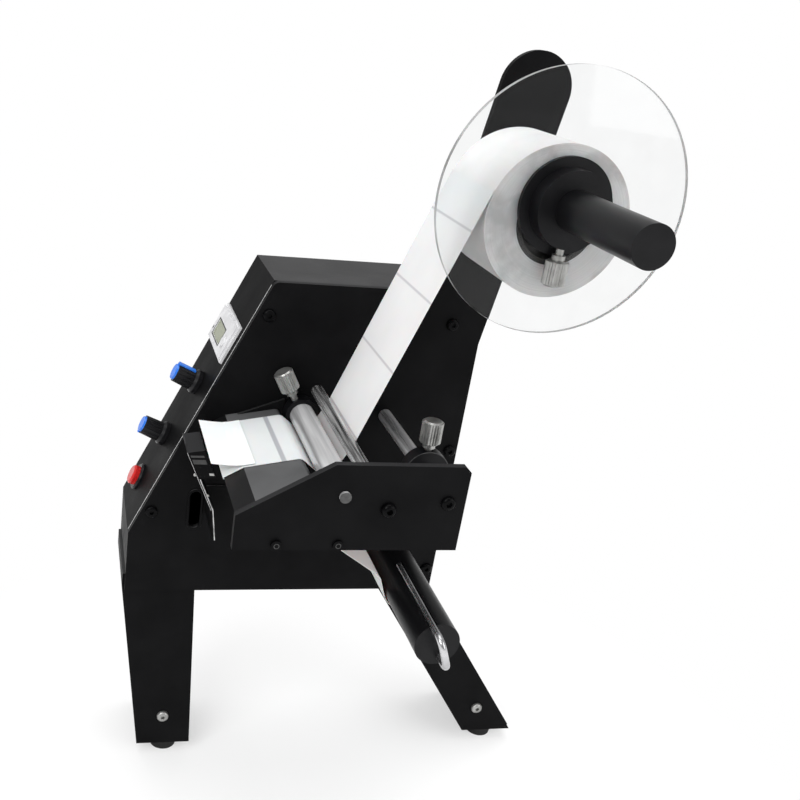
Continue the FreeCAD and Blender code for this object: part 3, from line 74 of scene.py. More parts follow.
def noise(tree, vector, scale, detail=4.0, stretch=None):
    """A noise value, stretched along an axis where asked."""
    if stretch is not None:
        mapping = tree.nodes.new("ShaderNodeMapping")
        mapping.inputs["Scale"].default_value = stretch
        tree.links.new(vector, mapping.inputs["Vector"])
        vector = mapping.outputs["Vector"]
    node = tree.nodes.new("ShaderNodeTexNoise")
    node.inputs["Scale"].default_value = scale
    node.inputs["Detail"].default_value = detail
    tree.links.new(vector, node.inputs["Vector"])
    return node.outputs["Fac"]


def remap(tree, value, low, high, source=(0.3, 0.7)):
    """A value moved from one range to another."""
    node = tree.nodes.new("ShaderNodeMapRange")
    node.inputs["From Min"].default_value = source[0]
    node.inputs["From Max"].default_value = source[1]
    node.inputs["To Min"].default_value = low
    node.inputs["To Max"].default_value = high
    tree.links.new(value, node.inputs["Value"])
    return node.outputs["Result"]


def blend_colours(tree, value, first, second):
    """Two colours mixed by a value."""
    node = tree.nodes.new("ShaderNodeMix")
    node.data_type = "RGBA"
    for index, colour in ((6, first), (7, second)):
        if isinstance(colour, tuple):
            node.inputs[index].default_value = (*colour, 1.0)
        else:
            tree.links.new(colour, node.inputs[index])
    tree.links.new(value, node.inputs[0])
    return node.outputs[2]


def bump(tree, shader, value, strength, distance=0.0001):
    """Small relief from a value."""
    node = tree.nodes.new("ShaderNodeBump")
    node.inputs["Strength"].default_value = strength
    node.inputs["Distance"].default_value = distance
    tree.links.new(value, node.inputs["Height"])
    tree.links.new(node.outputs["Normal"], shader.inputs["Normal"])


def finish_of(name, dark, light, rough, metallic=0.0, scale=60.0, relief=0.15, grain=900.0, stretch=None, **values):
    """A finish: colour between two tones, roughness between two values, fine relief."""
    material, tree, shader, coordinates = start(name)
    broad = noise(tree, coordinates, scale, stretch=stretch)
    fine = noise(tree, coordinates, grain, 2.0, stretch=stretch)
    tone = blend_colours(tree, remap(tree, broad, 0.0, 1.0), dark, light)
    tree.links.new(tone, shader.inputs["Base Color"])
    tree.links.new(remap(tree, broad, *rough), shader.inputs["Roughness"])
    shader.inputs["Metallic"].default_value = metallic
    for socket, value in values.items():
        shader.inputs[socket.replace("_", " ")].default_value = value
    bump(tree, shader, fine, relief)
    return material


# %% [markdown]
# ## Finishes
# The box, the legs and the cheek are fine-textured black powder coat, painted lighter where they face
# up: a painted highlight for the light from above. The spindle, the mandrel and the collars are black anodised. The
# rods' streaks run along them.

# %% Metals, rubber and plastics
ALONG_ROD = (1.0, 0.03, 1.0)
finishes = {
    "anodised": finish_of(
        "black_anodised", (0.0025, 0.0025, 0.0030), (0.0065, 0.0065, 0.0075), (0.30, 0.42), 0.1, 60.0, 0.05, 700.0,
        ALONG_ROD, Specular_IOR_Level=0.18,
    ),
    "turned": finish_of(
        "turned_steel", (0.22, 0.22, 0.22), (0.64, 0.64, 0.65), (0.26, 0.40), 0.45, 420.0, 0.05, 500.0, ALONG_ROD
    ),
    # Painted reflections: the turning roller's streaks run from near black to bright along it.
    "roller_steel_painted_reflections": finish_of(
        "roller_steel_painted_reflections", (0.02, 0.02, 0.02), (0.80, 0.80, 0.80), (0.14, 0.24), 0.7, 900.0, 0.04, 900.0, ALONG_ROD
    ),
    # Polish marks and painted reflections: the bar's streaks swing from dark grey to near white along it.
    "chrome_and_painted_reflections": finish_of(
        "chrome_and_painted_reflections", (0.24, 0.24, 0.24), (0.96, 0.96, 0.97), (0.08, 0.16), 0.45, 170.0, 0.02, 600.0, ALONG_ROD
    ),
    "wire": finish_of("wire", (0.34, 0.34, 0.35), (0.56, 0.56, 0.57), (0.18, 0.28), 0.95, 90.0, 0.03, 700.0),
    "nickel": finish_of("nickel", (0.24, 0.24, 0.23), (0.42, 0.42, 0.41), (0.30, 0.42), 0.85, 160.0, 0.1, 900.0),
    "oxide": finish_of(
        "black_oxide", (0.0010, 0.0010, 0.0012), (0.0030, 0.0030, 0.0034), (0.20, 0.30), 0.0, 300.0, 0.15, 1400.0,
        Specular_IOR_Level=0.06,
    ),
    "pin_end": finish_of("pin_end", (0.05, 0.05, 0.05), (0.09, 0.09, 0.09), (0.40, 0.52), 0.6, 500.0, 0.2, 1500.0),
    "painted_edge_highlight": finish_of(
        "painted_edge_highlight", (0.22, 0.22, 0.22), (0.60, 0.60, 0.60), (0.3, 0.4), 0.3, 400.0, 0.1, 900.0
    ),
    "seam": finish_of("seam_painted_highlight", (0.52, 0.52, 0.52), (0.80, 0.80, 0.80), (0.3, 0.4), 0.1, 500.0, 0.1, 900.0),
    "dark_grey_and_painted_highlight": finish_of(
        "dark_grey_and_painted_highlight", (0.018, 0.018, 0.018), (0.034, 0.034, 0.034), (0.4, 0.5), 0.0, 400.0, 0.2, 900.0
    ),
    "rubber": finish_of(
        "rubber", (0.008, 0.008, 0.008), (0.016, 0.016, 0.016), (0.62, 0.78), 0.0, 90.0, 0.3, 1300.0,
        Specular_IOR_Level=0.25,
    ),
    "black_plastic": finish_of(
        "black_plastic", (0.003, 0.003, 0.004), (0.007, 0.007, 0.008), (0.26, 0.38), 0.0, 120.0, 0.12, 1800.0,
        Specular_IOR_Level=0.22,
    ),
    "blue_plastic": finish_of(
        "blue_plastic", (0.010, 0.13, 0.60), (0.020, 0.19, 0.76), (0.26, 0.36), 0.0, 200.0, 0.1, 1500.0
    ),
    "red_plastic": finish_of(
        "red_plastic", (0.42, 0.010, 0.010), (0.58, 0.020, 0.018), (0.16, 0.26), 0.0, 200.0, 0.05, 900.0
    ),
    "white_plastic": finish_of(
        "white_plastic", (0.55, 0.55, 0.56), (0.68, 0.68, 0.69), (0.30, 0.40), 0.0, 150.0, 0.08, 1600.0
    ),
    "display": finish_of(
        "display", (0.22, 0.24, 0.15), (0.27, 0.29, 0.19), (0.12, 0.20), 0.0, 90.0, 0.02, 600.0, Coat_Weight=0.6
    ),
    # The core's card is painted near black: painted shade for the hollow inside the roll.
    "card": finish_of("card", (0.020, 0.019, 0.018), (0.040, 0.037, 0.034), (0.6, 0.75), 0.0, 120.0, 0.3, 1200.0),
    "machined": finish_of("machined", (0.42, 0.42, 0.43), (0.58, 0.58, 0.60), (0.26, 0.4), 1.0, 40.0, 0.1, 700.0),
}


def black_sheet(name, top, gloss, rough, from_up=(0.55, 0.80), grain=2600.0):
    """Black coated sheet whose upward faces are painted a lighter grey, a painted highlight for light from above; on
    the deck the same mask gives its grey top over a black bevel.
    """
    material, tree, shader, coordinates = start(name)
    facing = tree.nodes.new("ShaderNodeSeparateXYZ")
    geometry = tree.nodes.new("ShaderNodeNewGeometry")
    tree.links.new(geometry.outputs["True Normal"], facing.inputs[0])
    painted_light_and_grey_top = remap(tree, facing.outputs["Z"], 0.0, 1.0, from_up)
    cloud = remap(tree, noise(tree, coordinates, 40.0), 0.0, 1.0)
    dark = blend_colours(tree, cloud, (0.0030, 0.0030, 0.0033), (0.0056, 0.0056, 0.0060))
    light = blend_colours(tree, cloud, tuple(value * 0.75 for value in top), top)
    tree.links.new(blend_colours(tree, painted_light_and_grey_top, dark, light), shader.inputs["Base Color"])
    tree.links.new(remap(tree, cloud, *rough, (0.0, 1.0)), shader.inputs["Roughness"])
    shader.inputs["Specular IOR Level"].default_value = gloss
    bump(tree, shader, noise(tree, coordinates, grain, 2.0), 0.2)
    return material


# Painted highlight: the coat and the plate are painted lighter on their upward faces, for light from above; the
# deck's grey top over its black bevel is its paint.
finishes["coat"] = black_sheet("powder_coat", (0.060, 0.060, 0.061), 0.045, (0.44, 0.56))
finishes["plate"] = black_sheet("black_plate", (0.026, 0.026, 0.027), 0.045, (0.38, 0.50))
finishes["deck"] = black_sheet("deck_grey", (0.098, 0.099, 0.101), 0.16, (0.30, 0.42), (0.92, 0.975), 1500.0)
print("finishes:", len(finishes))

# %% [markdown]
# ## Paper
# The web carries white labels on a white liner. Each gap between two labels shows as a thin grey line
# across the web, so the shader draws a line wherever the distance along the web reaches the next gap.
# The roll is white outside and shows its layers on the ends, and the disc in front of it is clear.

# %% Paper


def paper(
    name, direction=None, origin=None, pitch=0.0, phase=0.0, half_gap=0.0006, tone=(0.745, 0.745, 0.75),
    gap_tone=(0.50, 0.50, 0.52),
):
    """White paper, with gap lines at an even pitch along a direction."""
    material, tree, shader, coordinates = start(name)
    fibre = noise(tree, coordinates, 700.0, 6.0)
    cloud = noise(tree, coordinates, 25.0, 3.0)
    darker = tuple(value * 0.93 for value in tone)
    colour = blend_colours(tree, remap(tree, cloud, 0.0, 1.0), darker, tone)
    if direction is not None:
        offset = tree.nodes.new("ShaderNodeVectorMath")
        offset.operation = "SUBTRACT"
        offset.inputs[1].default_value = origin
        tree.links.new(coordinates, offset.inputs[0])
        along = tree.nodes.new("ShaderNodeVectorMath")
        along.operation = "DOT_PRODUCT"
        along.inputs[1].default_value = direction
        tree.links.new(offset.outputs["Vector"], along.inputs[0])
        shifted = tree.nodes.new("ShaderNodeMath")
        shifted.operation = "SUBTRACT"
        shifted.inputs[1].default_value = phase
        tree.links.new(along.outputs["Value"], shifted.inputs[0])
        line = tree.nodes.new("ShaderNodeMath")
        line.operation = "PINGPONG"
        line.inputs[1].default_value = pitch / 2
        tree.links.new(shifted.outputs[0], line.inputs[0])
        gap = remap(tree, line.outputs[0], 1.0, 0.0, (half_gap - 0.0003, half_gap + 0.0003))
        colour = blend_colours(tree, gap, colour, gap_tone)
    tree.links.new(colour, shader.inputs["Base Color"])
    shader.inputs["Roughness"].default_value = 0.48
    shader.inputs["Subsurface Weight"].default_value = 0.15
    shader.inputs["Subsurface Scale"].default_value = 0.002
    bump(tree, shader, fibre, 0.08)
    return material


LABEL_PITCH = 0.040
DECK_SLOPE = math.radians(10.9)
WEB_TOP, WEB_LOW = at(159.5, 0, 272.0), at(109.6, 0, 139.0)
web_way = (WEB_TOP - WEB_LOW).normalized()
deck_way = Vector((math.cos(DECK_SLOPE), 0, math.sin(DECK_SLOPE)))
finishes["web"] = paper("web_paper", web_way, WEB_LOW, LABEL_PITCH, 0.0002)
# The web on the deck takes a darker tone and darker gap lines than the same web where it drops: painted shade, for
# the shade that falls on it over the deck.
finishes["deck_web"] = paper(
    "deck_paper_painted_shade", deck_way, at(52.2, 0, 120.7), LABEL_PITCH, 0.0215, 0.0013, (0.64, 0.64, 0.645), (0.36, 0.36, 0.38)
)
finishes["label"] = paper("label_paper", tone=(0.80, 0.80, 0.805))
finishes["liner"] = paper("liner_paper", tone=(0.70, 0.70, 0.69))

roll_low, roll_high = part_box("label_roll")
roll_middle = (Vector(roll_low) + Vector(roll_high)) / 2


def wound_paper():
    """The roll: white outside, with fine rings on its ends where the layers show."""
    material, tree, shader, coordinates = start("wound_paper")
    offset = tree.nodes.new("ShaderNodeVectorMath")
    offset.operation = "SUBTRACT"
    offset.inputs[1].default_value = roll_middle
    tree.links.new(coordinates, offset.inputs[0])
    flat = tree.nodes.new("ShaderNodeVectorMath")
    flat.operation = "MULTIPLY"
    flat.inputs[1].default_value = (1.0, 0.0, 1.0)
    tree.links.new(offset.outputs["Vector"], flat.inputs[0])
    radius = tree.nodes.new("ShaderNodeVectorMath")
    radius.operation = "LENGTH"
    tree.links.new(flat.outputs["Vector"], radius.inputs[0])
    rings = tree.nodes.new("ShaderNodeTexNoise")
    rings.noise_dimensions = "1D"
    rings.inputs["Scale"].default_value = 1500.0
    rings.inputs["Detail"].default_value = 5.0
    tree.links.new(radius.outputs["Value"], rings.inputs["W"])
    cloud = noise(tree, coordinates, 55.0, 8.0)
    rim = blend_colours(tree, remap(tree, rings.outputs["Fac"], 0.0, 1.0), (0.58, 0.58, 0.58), (0.66, 0.66, 0.66))
    rim = blend_colours(tree, remap(tree, cloud, 0.0, 0.8, (0.46, 0.62)), rim, (0.40, 0.40, 0.40))
    facing = tree.nodes.new("ShaderNodeSeparateXYZ")
    geometry = tree.nodes.new("ShaderNodeNewGeometry")
    tree.links.new(geometry.outputs["True Normal"], facing.inputs[0])
    front = remap(tree, facing.outputs["Y"], 1.0, 0.0, (-0.9, -0.5))
    side = blend_colours(tree, remap(tree, cloud, 0.0, 1.0), (0.70, 0.70, 0.70), (0.77, 0.77, 0.77))
    tone = blend_colours(tree, front, side, rim)
    tree.links.new(tone, shader.inputs["Base Color"])
    shader.inputs["Roughness"].default_value = 0.5
    shader.inputs["Subsurface Weight"].default_value = 0.2
    shader.inputs["Subsurface Scale"].default_value = 0.004
    bump(tree, shader, cloud, 0.5, 0.001)
    return material


finishes["roll"] = wound_paper()


def clear_acrylic():
    """Clear sheet: faint tint, faint marks in the polish."""
    material, tree, shader, coordinates = start("clear_acrylic")
    marks = noise(tree, coordinates, 80.0, 5.0)
    tree.links.new(remap(tree, marks, 0.01, 0.05), shader.inputs["Roughness"])
    tone = blend_colours(tree, remap(tree, marks, 0.0, 1.0), (0.915, 0.92, 0.92), (0.945, 0.95, 0.95))
    tree.links.new(tone, shader.inputs["Base Color"])
    shader.inputs["IOR"].default_value = 1.25
    shader.inputs["Transmission Weight"].default_value = 1.0
    return material


finishes["acrylic"] = clear_acrylic()
# The disc's rim is a grey, partly opaque copy of the clear acrylic: painted shade for the dark line its edge shows.
finishes["acrylic_edge_painted_shade"] = finish_of(
    "acrylic_edge_painted_shade", (0.20, 0.20, 0.20), (0.50, 0.50, 0.50), (0.30, 0.42), 0.0, 50.0, 0.05, 900.0,
    Transmission_Weight=0.25,
)
print("paper ways:", [round(value, 3) for value in web_way])

# %% [markdown]
# ## Dress the frame
# Each CAD node keeps its shape and takes a finish. Sheet metal, machined pieces and mouldings get a
# small bevel, because no real edge is perfectly sharp and the bevel catches the light. A few faces of
# a node take a second finish: the bar's end, two screw heads and the disc's rim.

# %% Dress the frame
DRESS = {
    "coat": "housing_cover far_panel bottom_plate front_leg rear_leg sensor_bracket",
    "plate": "main_plate cheek sensor_block",
    "anodised": "spindle mandrel disc_hub guide_collar bar_collar lower_tie_rod",
    "deck": "peel_deck",
    "turned": "guide_rod tie_rod leg_tie_bars motor_posts motor_shaft plate_nuts",
    "roller_steel_painted_reflections": "turning_roller",
    "chrome_and_painted_reflections": "polished_bar",
    "wire": "mandrel_clip",
    "nickel": "guide_collar_screw bar_collar_screw disc_hub_screw leg_screws",
    "oxide": "plate_bolts far_bolts cheek_bolts",
    "rubber": "rubber_feet liner_roller pinch_roller drive_belt",
    "acrylic": "retaining_disc",
    "roll": "label_roll",
    "web": "web_drop",
    "deck_web": "web_feed",
    "label": "peeled_label",
    "liner": "liner_return",
    "card": "roll_core",
    "black_plastic": "upper_knob lower_knob button_collar power_inlet power_switch",
    "blue_plastic": "upper_cap lower_cap",
    "red_plastic": "push_button",
    "white_plastic": "counter_bezel counter_reset",
    "display": "counter_window",
    "machined": "motor transformer mandrel_bearing mandrel_pulley motor_pulley knob_pots",
}
SOFTENED = {
    0.0004: "main_plate cheek peel_deck sensor_block counter_bezel power_inlet housing_cover front_leg rear_leg",
    0.0005: "guide_collar bar_collar disc_hub mandrel spindle rubber_feet",
    0.0003: "retaining_disc polished_bar guide_rod upper_knob lower_knob button_collar push_button",
}
for finish, names in DRESS.items():
    for name in names.split():
        mesh = nodes[name].data
        mesh.materials.clear()
        mesh.materials.append(finishes[finish])
dressed = {name for names in DRESS.values() for name in names.split()}
for width, names in SOFTENED.items():
    for name in names.split():
        soft = nodes[name].modifiers.new("edge", "BEVEL")
        soft.width = width
        soft.segments = 2
        soft.limit_method = "ANGLE"
        soft.angle_limit = math.radians(50)
        soft.harden_normals = True


def finish_front(name, finish, limit):
    """A second finish for the faces of a node that lie in front of a limit."""
    mesh = nodes[name].data
    mesh.materials.append(finishes[finish])
    for face in mesh.polygons:
        if max(mesh.vertices[index].co.y for index in face.vertices) < limit:
            face.material_index = 1


BAR_END_DEEP = 0.0006
cheek_face = at(0, -110.9, 0).y
finish_front("polished_bar", "pin_end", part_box("polished_bar")[0][1] + BAR_END_DEEP)
for name in ("pinch_roller", "lower_tie_rod"):
    finish_front(name, "oxide", cheek_face)
disc_mesh = nodes["retaining_disc"].data
disc_mesh.materials.append(finishes["acrylic_edge_painted_shade"])
for face in disc_mesh.polygons:
    corners = [disc_mesh.vertices[index].co.y for index in face.vertices]
    if max(corners) - min(corners) > 0.001:
        face.material_index = 1
print("undressed nodes:", sorted(set(nodes) - dressed))

# %% [markdown]
# ## Panel seam and display frame
# A painted highlight runs as a bright seam along the slanted panel's near edge, and a dark frame and a
# small key stand by the counter's display. In panel coordinates s runs up the slope from its lower corner and y
# across it.

# %% Panel seam and display frame
SLOPE = math.radians(65.45)
PANEL_FOOT = 41.0


def on_panel(s, y, lift=0.0):
    """A point on the slanted panel, lifted off it by a height in millimetres."""
    x = s * math.cos(SLOPE) - lift * math.sin(SLOPE)
    return at(x, y, PANEL_FOOT + s * math.sin(SLOPE) + lift * math.cos(SLOPE))


def add_piece(name, build, finish, body="frame", smooth=False):
    """A new piece from a built mesh, with its finish, riding on a body of the frame."""
    mesh = bpy.data.meshes.new(name)
    bmesh.ops.recalc_face_normals(build, faces=build.faces)
    build.to_mesh(mesh)
    build.free()
    for face in mesh.polygons:
        face.use_smooth = smooth
    piece = bpy.data.objects.new(name, mesh)
    bpy.context.collection.objects.link(piece)
    mesh.materials.append(finishes[finish])
    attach(piece, body)
    return piece


def slab(name, boxes, finish, body="frame"):
    """Thin blocks on the panel, each given as (s low, s high, y low, y high, lift low, lift high)."""
    build = bmesh.new()
    for s0, s1, y0, y1, low, high in boxes:
        corners = [build.verts.new(on_panel(s, y, lift)) for s in (s0, s1) for y in (y0, y1) for lift in (low, high)]
        for face in ((0, 1, 3, 2), (4, 6, 7, 5), (0, 4, 5, 1), (2, 3, 7, 6), (0, 2, 6, 4), (1, 5, 7, 3)):
            build.faces.new([corners[index] for index in face])
    return add_piece(name, build, finish, body)


# The seam is a painted highlight: a thin bright strip where the panel's edge catches the light.
SEAM_WIDE, SEAM_PLACE = 0.55, 4.05
PANEL_LONG = 160.5 / math.sin(SLOPE)
slab("panel_seam_highlight", [(0.8, PANEL_LONG - 3.0, SEAM_PLACE, SEAM_PLACE + SEAM_WIDE, 0.0, 0.06)], "seam")
# The display's window in panel coordinates, the frame's width, and the height of the bezel's face.
LOW_S, HIGH_S, LOW_Y, HIGH_Y = 123.0, 133.0, 27.0, 51.0
EDGE, FACE, PROUD = 0.7, 3.0, 3.08
slab(
    "display_frame",
    [
        (LOW_S - EDGE, LOW_S, LOW_Y - EDGE, HIGH_Y + EDGE, FACE, PROUD),
        (HIGH_S, HIGH_S + EDGE, LOW_Y - EDGE, HIGH_Y + EDGE, FACE, PROUD),
        (LOW_S, HIGH_S, LOW_Y - EDGE, LOW_Y, FACE, PROUD),
        (LOW_S, HIGH_S, HIGH_Y, HIGH_Y + EDGE, FACE, PROUD),
        (124.6, 126.4, 54.0, 55.6, FACE, 3.10),
    ],
    "black_plastic",
)

# %% [markdown]
# ## Small fittings
# A moulded grommet lines the oval hole where the sensor's cable goes in. Thin lighter rings paint
# highlights on two screws' sockets and on the guide rod's collar. Two plated screws hold the sensor to
# its bracket, whose cut edges carry a painted highlight, and the sensor's end has two ridges and a plug.

# %% Small fittings


def solid(name, sections, finish, close=False, body="frame"):
    """A skin over rings of points, capped at both ends or closed into a loop."""
    build = bmesh.new()
    rings = [[build.verts.new(point) for point in section] for section in sections]
    pairs = list(zip(rings, rings[1:] + rings[:1] if close else rings[1:]))
    for first, second in pairs:
        for index in range(len(first)):
            after = (index + 1) % len(first)
            build.faces.new((first[index], first[after], second[after], second[index]))
    if not close:
        build.faces.new(rings[0])
        build.faces.new(rings[-1])
    return add_piece(name, build, finish, body, smooth=True)


def oval(x, z, half_wide, half_tall, y, steps=40):
    """An upright oval in the plate's plane."""
    points = []
    for step in range(steps):
        angle = 2 * math.pi * step / steps
        up = half_tall - half_wide if math.sin(angle) >= 0 else half_wide - half_tall
        points.append(at(x + half_wide * math.cos(angle), y, z + up + half_wide * math.sin(angle)))
    return points


# The grommet's lip is a closed loop of ovals, given as (half width, half height, y).
GROMMET_X, GROMMET_Z = 39.4, 58.0
LIP = [
    (3.95, 12.95, 0.3),
    (4.1, 13.1, -0.1),
    (4.9, 13.9, -0.1),
    (4.9, 13.9, -0.7),
    (4.2, 13.2, -1.0),
    (3.3, 12.3, -0.7),
    (3.3, 12.3, 0.3),
]
ovals = [oval(GROMMET_X, GROMMET_Z, wide, tall, y) for wide, tall, y in LIP]
solid("grommet", ovals, "coat", close=True)


def ring(x, y, z, reach, steps):
    """Points of a circle in a plane that faces the front."""
    turn = [2 * math.pi * step / steps for step in range(steps)]
    return [at(x + reach * math.cos(a), y, z + reach * math.sin(a)) for a in turn]


def rim(name, x, y, z, body, outer=1.5, steps=24, finish="dark_grey_and_painted_highlight", slot="black_screws"):
    """A circular edge with a painted highlight, as a thin raised lighter ring on the face that it bounds."""
    profile = ((0.45, 0.0), (0.4, 0.08), (0.05, 0.08), (0.0, 0.0))
    rings = [ring(x, y - lift, z, outer - inset, steps) for inset, lift in profile]
    return solid(name, rings, finish, close=True, body=body)


# Painted highlights: lighter rings on the two screws' sockets and along the collar's chamfer, where the edges catch
# the light.
SOCKET_Z = 99.2
rim("pinch_socket_highlight_rim", 63.8, -112.9, SOCKET_Z, "pinch_roller")
rim("tie_socket_highlight_rim", 95.5, -112.6, SOCKET_Z, "frame")
collar_low, collar_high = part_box("guide_collar")
collar_middle = (Vector(collar_low) + Vector(collar_high)) / 2
collar_x, _, collar_z = (collar_middle - PLATE_CORNER) * 1000
collar_y = (collar_low[1] - PLATE_CORNER.y) * 1000
collar_radius = (collar_high[0] - collar_low[0]) * 500
rim("collar_highlight_rim", collar_x, collar_y, collar_z, "guide_stop", collar_radius - 0.05, 64, "pin_end", "black_anodised")


def small_screw(name, x, y, z, radius=0.9, tall=0.8, steps=16):
    """A small pan-head screw whose head faces the front."""
    profile = [(radius, 0.0), (radius, 0.55), (radius * 0.8, 0.85), (radius * 0.35, 1.0)]
    rings = [ring(x, y - tall * share, z, reach, steps) for reach, share in profile]
    return solid(name, rings, "nickel")


SENSOR_Y, BRACKET_Y = -45.0, -32.0
small_screw("sensor_screw_upper", 30.8, SENSOR_Y, 104.0)
small_screw("sensor_screw_lower", 41.0, BRACKET_Y, 84.5)


def ribbon(name, points, wide, y, finish, thick=0.05):
    """A thin strip that follows points of the plate's plane along one cut edge of a bent sheet."""
    build = bmesh.new()
    section = ((0, 0), (wide, 0), (wide, -thick), (0, -thick))
    rows = []
    for x, z in points:
        rows.append([build.verts.new(at(x + a, y + b, z)) for a, b in section])
    for first, second in zip(rows, rows[1:]):
        for index in range(4):
            after = (index + 1) % 4
            build.faces.new((first[index], first[after], second[after], second[index]))
    build.faces.new(rows[0])
    build.faces.new(rows[-1])
    return add_piece(name, build, finish)


BRACKET = [(27.2, 110.9), (43.6, 74.7), (46.2, 55.1)]
front_edge, back_edge = [(x + 0.95, z) for x, z in BRACKET], [(x + 0.05, z) for x, z in BRACKET[:2]]
# Painted highlight: bright strips along the bracket's cut edges, where its edges catch the light.
ribbon("bracket_edge_highlight", front_edge, 0.6, BRACKET_Y, "painted_edge_highlight")
ribbon("bracket_back_edge_highlight", back_edge, 0.3, BRACKET_Y, "painted_edge_highlight")
RIDGE_WIDE = 7.4
ribbon("sensor_ridge", [(29.7, 110.2), (28.5, 112.9)], RIDGE_WIDE, SENSOR_Y, "dark_grey_and_painted_highlight")
ribbon("sensor_lip", [(27.9, 114.2), (27.4, 115.4)], RIDGE_WIDE, SENSOR_Y, "dark_grey_and_painted_highlight")
ribbon("sensor_plug", [(39.0, 103.4), (38.4, 104.8)], 2.6, SENSOR_Y, "nickel")

# %% [markdown]
# ## Knob stripe
# The upper knob's pointer is a broad blue stripe down the side that faces up the panel, so it turns
# with the knob.

# %% Knob stripe
KNOB_S, KNOB_Y, KNOB_BODY = 95.3, 32.0, 6.25
STRIPE_HALF, STRIPE_LOW, STRIPE_HIGH = 2.2, 5.2, 16.2
side = KNOB_S + KNOB_BODY
stripe = [(side - 0.75, side + 0.15, KNOB_Y - STRIPE_HALF, KNOB_Y + STRIPE_HALF, STRIPE_LOW, STRIPE_HIGH)]
slab("knob_stripe", stripe, "blue_plastic", "upper_knob")

# %% [markdown]
# ## Studio
# A pale floor that fades to pure white away from the machine, a white surround and large soft lights.

# %% Studio
floor_material, floor_tree, floor_shader, floor_coordinates = start("studio_floor")
floor_cloud = remap(floor_tree, noise(floor_tree, floor_coordinates, 3.0), 0.0, 1.0)
floor_tone = blend_colours(floor_tree, floor_cloud, (0.92, 0.92, 0.92), (0.95, 0.95, 0.95))
floor_tree.links.new(floor_tone, floor_shader.inputs["Base Color"])
floor_shader.inputs["Roughness"].default_value = 0.9
floor_shader.inputs["Specular IOR Level"].default_value = 0.0
glow = floor_tree.nodes.new("ShaderNodeEmission")
glow.inputs["Color"].default_value = (1.0, 1.0, 1.0, 1.0)
away = floor_tree.nodes.new("ShaderNodeVectorMath")
away.operation = "LENGTH"
floor_tree.links.new(floor_coordinates, away.inputs[0])
view = floor_tree.nodes.new("ShaderNodeLightPath")
fade = floor_tree.nodes.new("ShaderNodeMath")
fade.operation = "MULTIPLY"
floor_tree.links.new(remap(floor_tree, away.outputs["Value"], 0.45, 1.0, (0.12, 0.34)), fade.inputs[0])
through = floor_tree.nodes.new("ShaderNodeMath")
through.operation = "MAXIMUM"
floor_tree.links.new(view.outputs["Is Camera Ray"], through.inputs[0])
floor_tree.links.new(view.outputs["Is Transmission Ray"], through.inputs[1])
floor_tree.links.new(through.outputs[0], fade.inputs[1])
studio_mix = floor_tree.nodes.new("ShaderNodeMixShader")
floor_tree.links.new(fade.outputs[0], studio_mix.inputs[0])
floor_tree.links.new(floor_shader.outputs[0], studio_mix.inputs[1])
floor_tree.links.new(glow.outputs[0], studio_mix.inputs[2])
floor_tree.links.new(studio_mix.outputs[0], floor_tree.nodes["Material Output"].inputs["Surface"])
bpy.ops.mesh.primitive_plane_add(size=12.0, location=(0, 0, -0.0003))
floor = bpy.context.object
floor.name = "studio_floor"
floor.data.materials.append(floor_material)

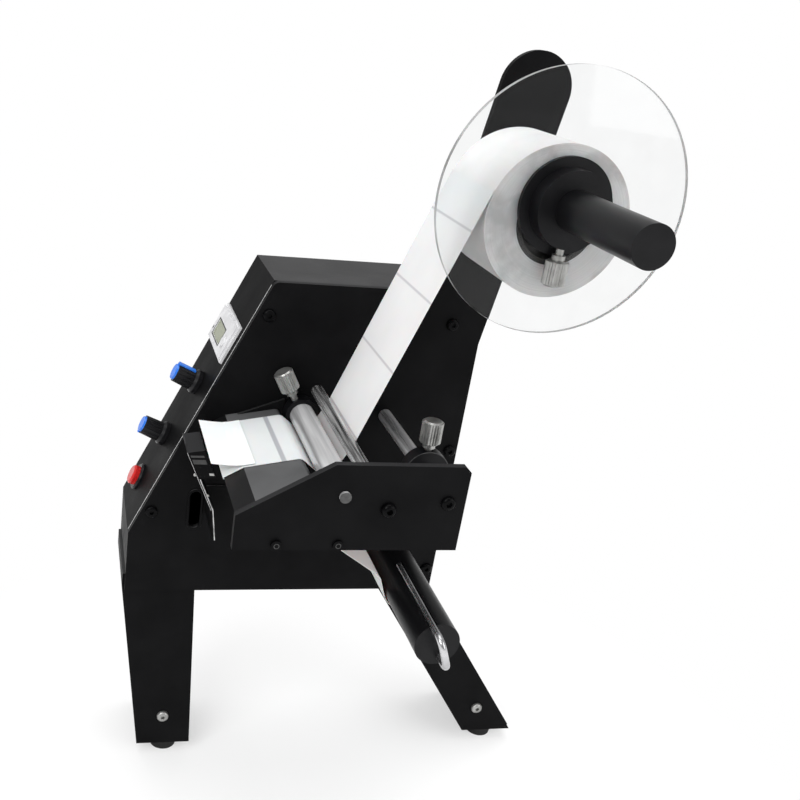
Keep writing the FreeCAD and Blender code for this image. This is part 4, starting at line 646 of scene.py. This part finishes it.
world = bpy.data.worlds.new("studio")
bpy.context.scene.world = world
world.use_nodes = True
sky = world.node_tree
background = sky.nodes["Background"]
path = sky.nodes.new("ShaderNodeLightPath")
seen = sky.nodes.new("ShaderNodeMath")
seen.operation = "MAXIMUM"
sky.links.new(path.outputs["Is Camera Ray"], seen.inputs[0])
sky.links.new(path.outputs["Is Transmission Ray"], seen.inputs[1])
mirrored = sky.nodes.new("ShaderNodeMapRange")
mirrored.inputs["To Min"].default_value = 0.60
mirrored.inputs["To Max"].default_value = 0.42
sky.links.new(path.outputs["Is Glossy Ray"], mirrored.inputs["Value"])
level = sky.nodes.new("ShaderNodeMapRange")
level.inputs["To Max"].default_value = 1.0
sky.links.new(seen.outputs[0], level.inputs["Value"])
sky.links.new(mirrored.outputs["Result"], level.inputs["To Min"])
sky.links.new(level.outputs["Result"], background.inputs["Strength"])
background.inputs["Color"].default_value = (1.0, 1.0, 1.0, 1.0)


def softbox(name, place, aim, size, power):
    """A square area light aimed at a point."""
    light = bpy.data.lights.new(name, "AREA")
    light.size = size
    light.energy = power
    lamp = bpy.data.objects.new(name, light)
    bpy.context.collection.objects.link(lamp)
    lamp.location = place
    lamp.rotation_mode = "QUATERNION"
    lamp.rotation_quaternion = (Vector(aim) - Vector(place)).to_track_quat("-Z", "Y")


softbox("key", (-1.2, -1.3, 1.5), (0, 0, 0.25), 1.2, 26)
softbox("fill", (1.3, -1.2, 0.9), (0, 0, 0.2), 1.3, 12)
softbox("top", (0.0, 0.2, 1.9), (0, 0, 0.2), 1.6, 20)

# %% [markdown]
# ## Camera
# The camera stands where the photographer stood. It was fitted to corners measured in the photograph,
# and its lens is shifted because the picture was cropped off centre.

# %% Camera
FOCAL_PIXELS, PICTURE_PIXELS, SENSOR_WIDE = 982.4, 800.0, 36.0
AZIMUTH, ELEVATION, ROLL = math.radians(13.22), math.radians(23.5), math.radians(6.84)
forward = Vector(
    (math.sin(AZIMUTH) * math.cos(ELEVATION), math.cos(AZIMUTH) * math.cos(ELEVATION), -math.sin(ELEVATION))
)
right = forward.cross(Vector((0, 0, 1))).normalized()
up = right.cross(forward)
right, up = right * math.cos(ROLL) + up * math.sin(ROLL), up * math.cos(ROLL) - right * math.sin(ROLL)
camera = bpy.data.objects.new("camera", bpy.data.cameras.new("camera"))
bpy.context.collection.objects.link(camera)
turn = Matrix((right, up, -forward)).transposed().to_4x4()
camera.matrix_world = Matrix.Translation((-0.1845, -0.4742, 0.4758)) @ turn
camera.data.sensor_width = SENSOR_WIDE
camera.data.lens = FOCAL_PIXELS * SENSOR_WIDE / PICTURE_PIXELS
camera.data.shift_x = 0.1618
camera.data.shift_y = 0.0414
camera.data.clip_start = 0.01
bpy.context.scene.camera = camera
bpy.context.scene.view_settings.view_transform = "Standard"
